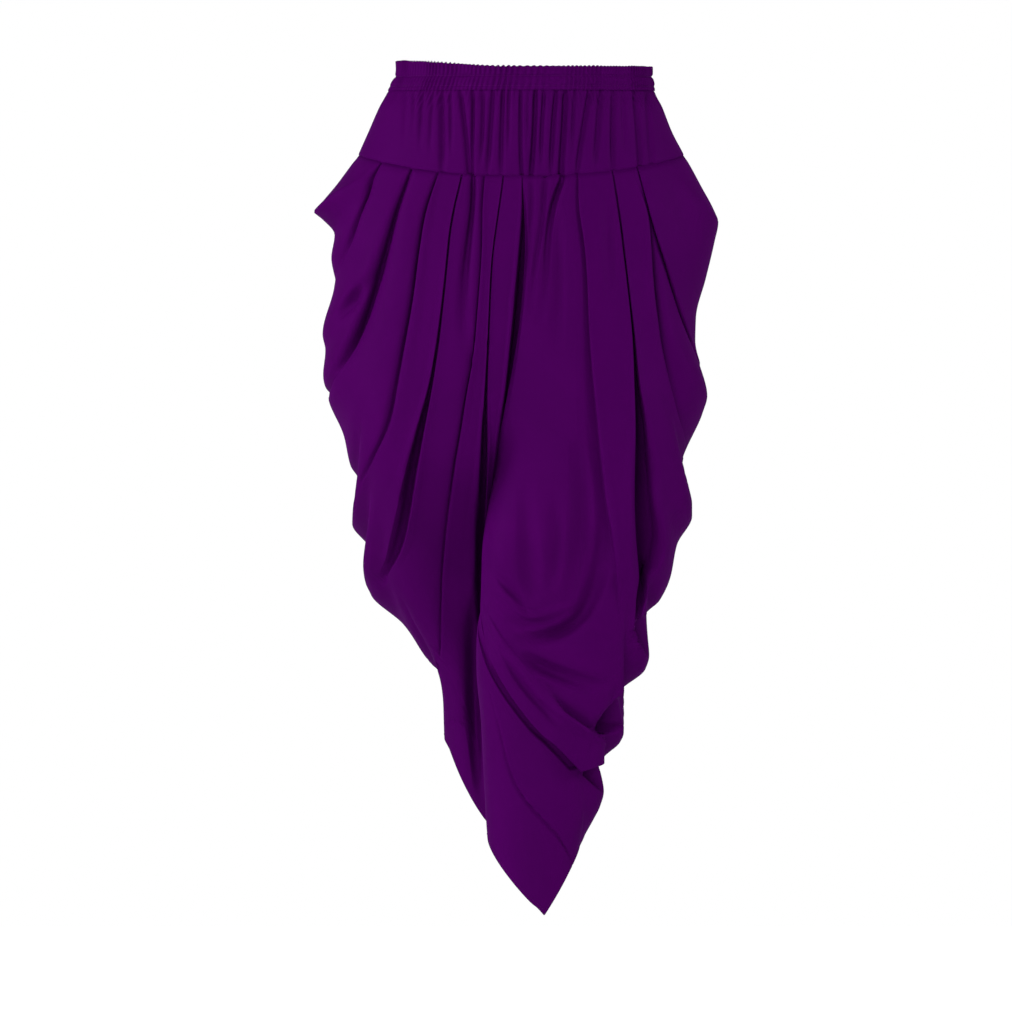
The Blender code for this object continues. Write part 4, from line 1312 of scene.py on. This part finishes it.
def gather_lift(x, depth):
    """Inward dips of the yoke below the casing, each running down from the casing."""
    gathers = table(GATHER_COLUMNS, GATHERS)
    lift = np.zeros_like(x)
    below = depth - CASING_DEPTH
    for top, end, low, groove, width in zip(*(gathers[c] for c in GATHER_COLUMNS.split())):
        down = below / (SEAM_AT_SIDE + SEAM_DROP - CASING_DEPTH)
        line = top + (end - top) * down + WANDER * np.sin(WANDER_TURNS * down + top) * down
        fade = 1 - ease((depth - low + GATHER_END) / GATHER_FADE)
        fade = fade * ease((below + GATHER_START) / GATHER_GROW)
        lift -= groove * fade * np.exp(-((x - line) / width) ** 2)
    return lift


def waist_wave(angle):
    """Uneven small gathers round the waist, from -1 to 1, and their size."""
    uneven = 1.4 * np.sin(7 * angle + 0.5) + 1.1 * np.sin(17 * angle + 2.0)
    size = 0.75 + 0.3 * np.sin(11 * angle + 1.0) + 0.2 * np.sin(29 * angle)
    return np.cos(WAIST_GATHERS * angle + uneven) * size


def yoke_grid(facing):
    """Half of the yoke, from side seam to side seam; facing is -1 front, +1 back."""
    cols, rows = ((561, 52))
    edge = YOKE_UNDERLAP if facing > 0 else -SEAM / 2 / SIDE_RADIUS
    turn = np.linspace(-edge, np.pi + edge, cols)
    down, angle = np.meshgrid(np.linspace(0, 1, rows), facing * turn, indexing="ij")
    top = CASING_DEPTH - YOKE_TUCK
    depth = top + (yoke_seam(angle) - top) * down
    flat = torso_points(depth, angle, 0.0)
    lift = gather_lift(-facing * flat[..., 0], depth)
    below = depth - CASING_DEPTH
    lift += SMALL_GATHER * waist_wave(angle) * (1 - ease(below / SMALL_GATHER_LONG))
    lift -= SEAM_INSET * (1 - ease((yoke_seam(angle) - depth) / SEAM_ROLL))
    lift -= YOKE_INSET * (1 - ease((below + 1) / 3))
    lift -= UNDERLAP_DEEP * (1 - ease(facing * np.sin(angle) / SIDE_STRIP + 1))
    return torso_points(depth, angle, lift)


yoke_front = cloth_piece("yoke_front_cloth", yoke_grid(-1))
yoke_back = cloth_piece("yoke_back_cloth", yoke_grid(1), flip=True)
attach(yoke_front, "root")
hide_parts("yoke_front")
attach(yoke_back, "root")
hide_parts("yoke_back")

# %% [markdown]
# ## The waist casing
#
# A band of elastic runs in a casing, and a narrow ruffle stands above it. The elastic draws
# the cloth into many small, uneven gathers. They could be an array of one pleat, but elastic
# never spaces them evenly, so the casing is one closed grid whose points ripple with the
# same uneven wave as the yoke. The two stitch lines draw it in, and it swells between them.

# %% Build the casing
CASING_TOP = -1.0
LOWER_LINE = 20.5
CASING = table("depth ripple swell", (
    (CASING_TOP, 2.2, 0.8), (3.0, 1.9, 0.6), (7.5, 1.5, 0.2), (RUFFLE_HEIGHT, 0.8, -1.2),
    (11.5, 1.4, 0.3), (17.0, 2.0, 1.0), (LOWER_LINE, 1.6, 0.2), (22.0, 1.8, 0.6),
    (CASING_DEPTH, 1.6, 0.2),
))
WAIST_ROWS = 30
RUFFLE_ROW, LOWER_ROW = (
    round((depth - CASING_TOP) / (CASING_DEPTH - CASING_TOP) * (WAIST_ROWS - 1))
    for depth in (RUFFLE_HEIGHT, LOWER_LINE))
CORNER_RISE = 6.0
EDGE_WAVE = 0.7


def waist_grid():
    """Points of the casing's outer face; its top edge rises at the wearer's right."""
    cols = WAIST_GATHERS * 8
    angle = -2 * np.pi * np.arange(cols) / cols
    level = np.linspace(CASING_TOP, CASING_DEPTH, WAIST_ROWS)
    depth, angle = np.meshgrid(level, angle, indexing="ij")
    ripple = read(CASING, "ripple", depth) * waist_wave(angle) * 0.5
    rise = CORNER_RISE * ease(-np.cos(angle) * 1.2 - 0.1)
    rise = (rise + EDGE_WAVE * waist_wave(angle + 0.01)) * (1 - ease(depth / RUFFLE_HEIGHT))
    return torso_points(depth - rise, angle, read(CASING, "swell", depth) + ripple)


waist_points = waist_grid()
waistband = cloth_piece("waistband_cloth", waist_points, closed=True)
casing_stitches = [
    stitch_row("upper_casing_stitches", waist_points, RUFFLE_ROW, closed=True),
    stitch_row("lower_casing_stitches", waist_points, LOWER_ROW, closed=True),
]
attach(waistband, "root")
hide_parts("waistband")

# %% [markdown]
# ## Materials
#
# The cloth is a rayon crepe, piece-dyed in one deep purple. Crepe is woven from hard twisted
# yarns that crinkle when they are washed. A satin would shine along each fold and a cotton
# would look chalky. Crepe has a fine pebbled grain that scatters the light, so it stays deep
# in colour, with only a faint sheen where it turns away from the eye.
#
# Two small helpers come first. One turns a colour as a dyer would name it, in sRGB hex, into
# the linear values that the shader works in, and the other adds a node.


# %% Colours and nodes
def linear(hex_colour):
    """An sRGB hex colour as the linear values that Blender's sockets take."""
    parts = [int(hex_colour[i:i + 2], 16) / 255 for i in (1, 3, 5)]
    return [c / 12.92 if c <= 0.04045 else ((c + 0.055) / 1.055) ** 2.4 for c in parts] + [1]


def add(owner, kind, settings=(), links=()):
    """A node with its settings, and the links into it: (its socket, other node, socket)."""
    tree = owner.node_tree
    node = tree.nodes.new(kind)
    for name, value in dict(settings).items():
        if name in node.inputs:
            node.inputs[name].default_value = value
        else:
            setattr(node, name, value)
    for socket, other, output in links:
        tree.links.new(other.outputs[output], node.inputs[socket])
    return node


print("deep purple in linear values:", [round(c, 4) for c in linear("#450052")])

# %% [markdown]
# The crepe's pattern follows its UV map in metres, so that the grain runs with the cloth
# through every fold. Three noises share it: the grain, the soft waves that washing leaves,
# and slow patches where the dye took a little less. The first two go to the bump, the grain
# changes the roughness as well, and the patches only mix two close purples.


# %% Crepe
# The grain of crepe is about 0.4 mm across, and is drawn four times as coarse to show.
GRAIN = 1.6 * MM
SOFT_WAVE = 22 * MM
DYE_PATCH = 70 * MM


def crepe(name, base, worn):
    """Crepe: its hard twisted yarns give a fine, even grain that kills the shine."""
    material = bpy.data.materials.new(name)
    material.use_nodes = True
    shader = material.node_tree.nodes["Principled BSDF"]
    on_cloth = add(material, "ShaderNodeUVMap", {"uv_map": "cloth"})
    grain = add(material, "ShaderNodeTexNoise",
                {"Scale": 1 / GRAIN, "Detail": 3.0, "Roughness": 0.6},
                [("Vector", on_cloth, "UV")])
    soft = add(material, "ShaderNodeTexNoise", {"Scale": 1 / SOFT_WAVE, "Detail": 2.0},
               [("Vector", on_cloth, "UV")])
    dye = add(material, "ShaderNodeTexNoise", {"Scale": 1 / DYE_PATCH, "Detail": 2.0},
              [("Vector", on_cloth, "UV")])
    waves = add(material, "ShaderNodeBump", {"Strength": 0.5, "Distance": 0.8 * MM},
                [("Height", soft, "Fac")])
    bump = add(material, "ShaderNodeBump", {"Strength": 0.35, "Distance": 0.12 * MM},
               [("Height", grain, "Fac"), ("Normal", waves, "Normal")])
    colour = add(material, "ShaderNodeMix", {"data_type": "RGBA"}, [("Factor", dye, "Fac")])
    colour.inputs["A"].default_value = linear(worn)
    colour.inputs["B"].default_value = linear(base)
    rough = add(material, "ShaderNodeMapRange", {"To Min": 0.56, "To Max": 0.68},
                [("Value", grain, "Fac")])
    links = material.node_tree.links
    links.new(colour.outputs["Result"], shader.inputs["Base Color"])
    links.new(rough.outputs["Result"], shader.inputs["Roughness"])
    links.new(bump.outputs["Normal"], shader.inputs["Normal"])
    # Dyed crepe has almost no mirror light. Its short fibres glow a little at the edges.
    shader.inputs["Specular IOR Level"].default_value = 0.01
    shader.inputs["Sheen Tint"].default_value = linear("#c000e0")
    shader.inputs["Sheen Weight"].default_value = 0.08
    shader.inputs["Sheen Roughness"].default_value = 0.4
    return material


# Deep purple rayon crepe, woven and piece-dyed: to the eye soft, dense and nearly matt.
cloth = crepe("plum_rayon_crepe", "#450052", "#3e004b")
for piece in (leg_right, leg_left, petal, yoke_front, yoke_back, waistband):
    piece.data.materials.append(cloth)
print(cloth.name, "with a grain of", round(GRAIN / MM, 1), "mm")

# %% [markdown]
# The sewing thread is spun polyester, dyed to match. It is smoother than crepe, so it
# catches a little more light and the rows of stitches can be made out from close by.


# %% Sewing thread
TWIST = 0.3 * MM


def thread(name, base):
    """Spun sewing thread, with the fine ribs of its twist."""
    material = bpy.data.materials.new(name)
    material.use_nodes = True
    shader = material.node_tree.nodes["Principled BSDF"]
    place = add(material, "ShaderNodeTexCoord")
    twist = add(material, "ShaderNodeTexNoise", {"Scale": 1 / TWIST},
                [("Vector", place, "Object")])
    bump = add(material, "ShaderNodeBump", {"Strength": 0.4, "Distance": 0.05 * MM},
               [("Height", twist, "Fac")])
    material.node_tree.links.new(bump.outputs["Normal"], shader.inputs["Normal"])
    shader.inputs["Base Color"].default_value = linear(base)
    shader.inputs["Roughness"].default_value = 0.5
    shader.inputs["Specular IOR Level"].default_value = 0.1
    return material


# Spun polyester thread, dyed to match the cloth: to the eye a fine line, a shade brighter.
sewing = thread("plum_polyester_thread", "#4a0656")
for piece in (right_hem_stitches, petal_hem_stitches, *casing_stitches):
    piece.data.materials.append(sewing)
print(sewing.name, "on", 2 + len(casing_stitches), "rows of stitches")

# %% [markdown]
# ## Camera, floor and light
#
# The garment is seen straight from the front, from far away through a long lens, as a
# catalogue shows clothes. So its sizes stay true from the waist to the hem. The frame is
# square, 1012 steps wide, and each step covers a little over a millimetre of the garment.
# The garment's middle plane is at step 523 and its waist edge at step 68.

# %% Camera
FRAME = 1012
STEP = 1.085
MIDDLE_STEP, WAIST_STEP = 523, 68
CAMERA_FAR = 30.0
SENSOR = 36.0

camera = bpy.data.objects.new("camera", bpy.data.cameras.new("camera"))
camera.data.sensor_width = SENSOR
camera.data.lens = SENSOR * CAMERA_FAR / (FRAME * STEP * MM)
camera.location = ((FRAME / 2 - MIDDLE_STEP) * STEP * MM, -CAMERA_FAR,
                   (WAIST_STEP - FRAME / 2) * STEP * MM)
camera.rotation_euler = (math.radians(90), 0, 0)
bpy.context.scene.collection.objects.link(camera)
bpy.context.scene.camera = camera
print("lens:", round(camera.data.lens), "mm")

# %% [markdown]
# The floor is a pale sheet of studio paper, and the world behind it is white. A paper this
# bright would fill every shadow with light from below and wash the purple out. So both are
# white only to the eye: for the light that falls on the cloth the floor has no glow, and
# the world is dim.

# %% Floor and backdrop
FLOOR = -1.024
AMBIENT = 0.18

bpy.ops.mesh.primitive_plane_add(size=12.0, location=(0, 0, FLOOR))
floor = bpy.context.object
floor.name = "floor"
# Uncoated studio paper: to the eye an even, matt white with no edge.
paper = bpy.data.materials.new("white_studio_paper")
paper.use_nodes = True
surface = paper.node_tree.nodes["Principled BSDF"]
surface.inputs["Base Color"].default_value = linear("#fafafa")
surface.inputs["Roughness"].default_value = 0.9
surface.inputs["Emission Color"].default_value = (1, 1, 1, 1)
seen = add(paper, "ShaderNodeLightPath")
paper.node_tree.links.new(seen.outputs["Is Camera Ray"], surface.inputs["Emission Strength"])
floor.data.materials.append(paper)

world = bpy.data.worlds.new("studio")
world.use_nodes = True
backdrop = world.node_tree.nodes["Background"]
backdrop.inputs["Color"].default_value = (1, 1, 1, 1)
seen = add(world, "ShaderNodeLightPath")
brightness = add(world, "ShaderNodeMapRange", {"To Min": AMBIENT, "To Max": 1.0},
                 [("Value", seen, "Is Camera Ray")])
world.node_tree.links.new(brightness.outputs["Result"], backdrop.inputs["Strength"])
bpy.context.scene.world = world
bpy.context.scene.view_settings.view_transform = "Standard"
print("the floor is", round(-FLOOR / MM), "mm below the waist edge")

# %% [markdown]
# Two soft boxes stand in front, one high for the shape of the pleats and one low to open
# their shadows near the hem. One more at each side draws a thin light along the swags.

# %% Studio light
AIM = Vector((0, 0, -0.45))


def softbox(name, place, size, power):
    """A square soft box, turned to the middle of the garment."""
    lamp = bpy.data.lights.new(name, "AREA")
    lamp.shape = "SQUARE"
    lamp.size = size
    lamp.energy = power
    holder = bpy.data.objects.new(name, lamp)
    holder.location = place
    holder.rotation_euler = (AIM - holder.location).to_track_quat("-Z", "Y").to_euler()
    bpy.context.scene.collection.objects.link(holder)


softbox("key", (-1.0, -3.0, 2.2), 1.4, 54)
softbox("low_fill", (-0.6, -3.0, -1.0), 1.4, 55)
softbox("left_rim", (-3.0, -0.6, 0.5), 1.2, 54)
softbox("right_rim", (3.0, -0.6, 0.9), 1.2, 46)
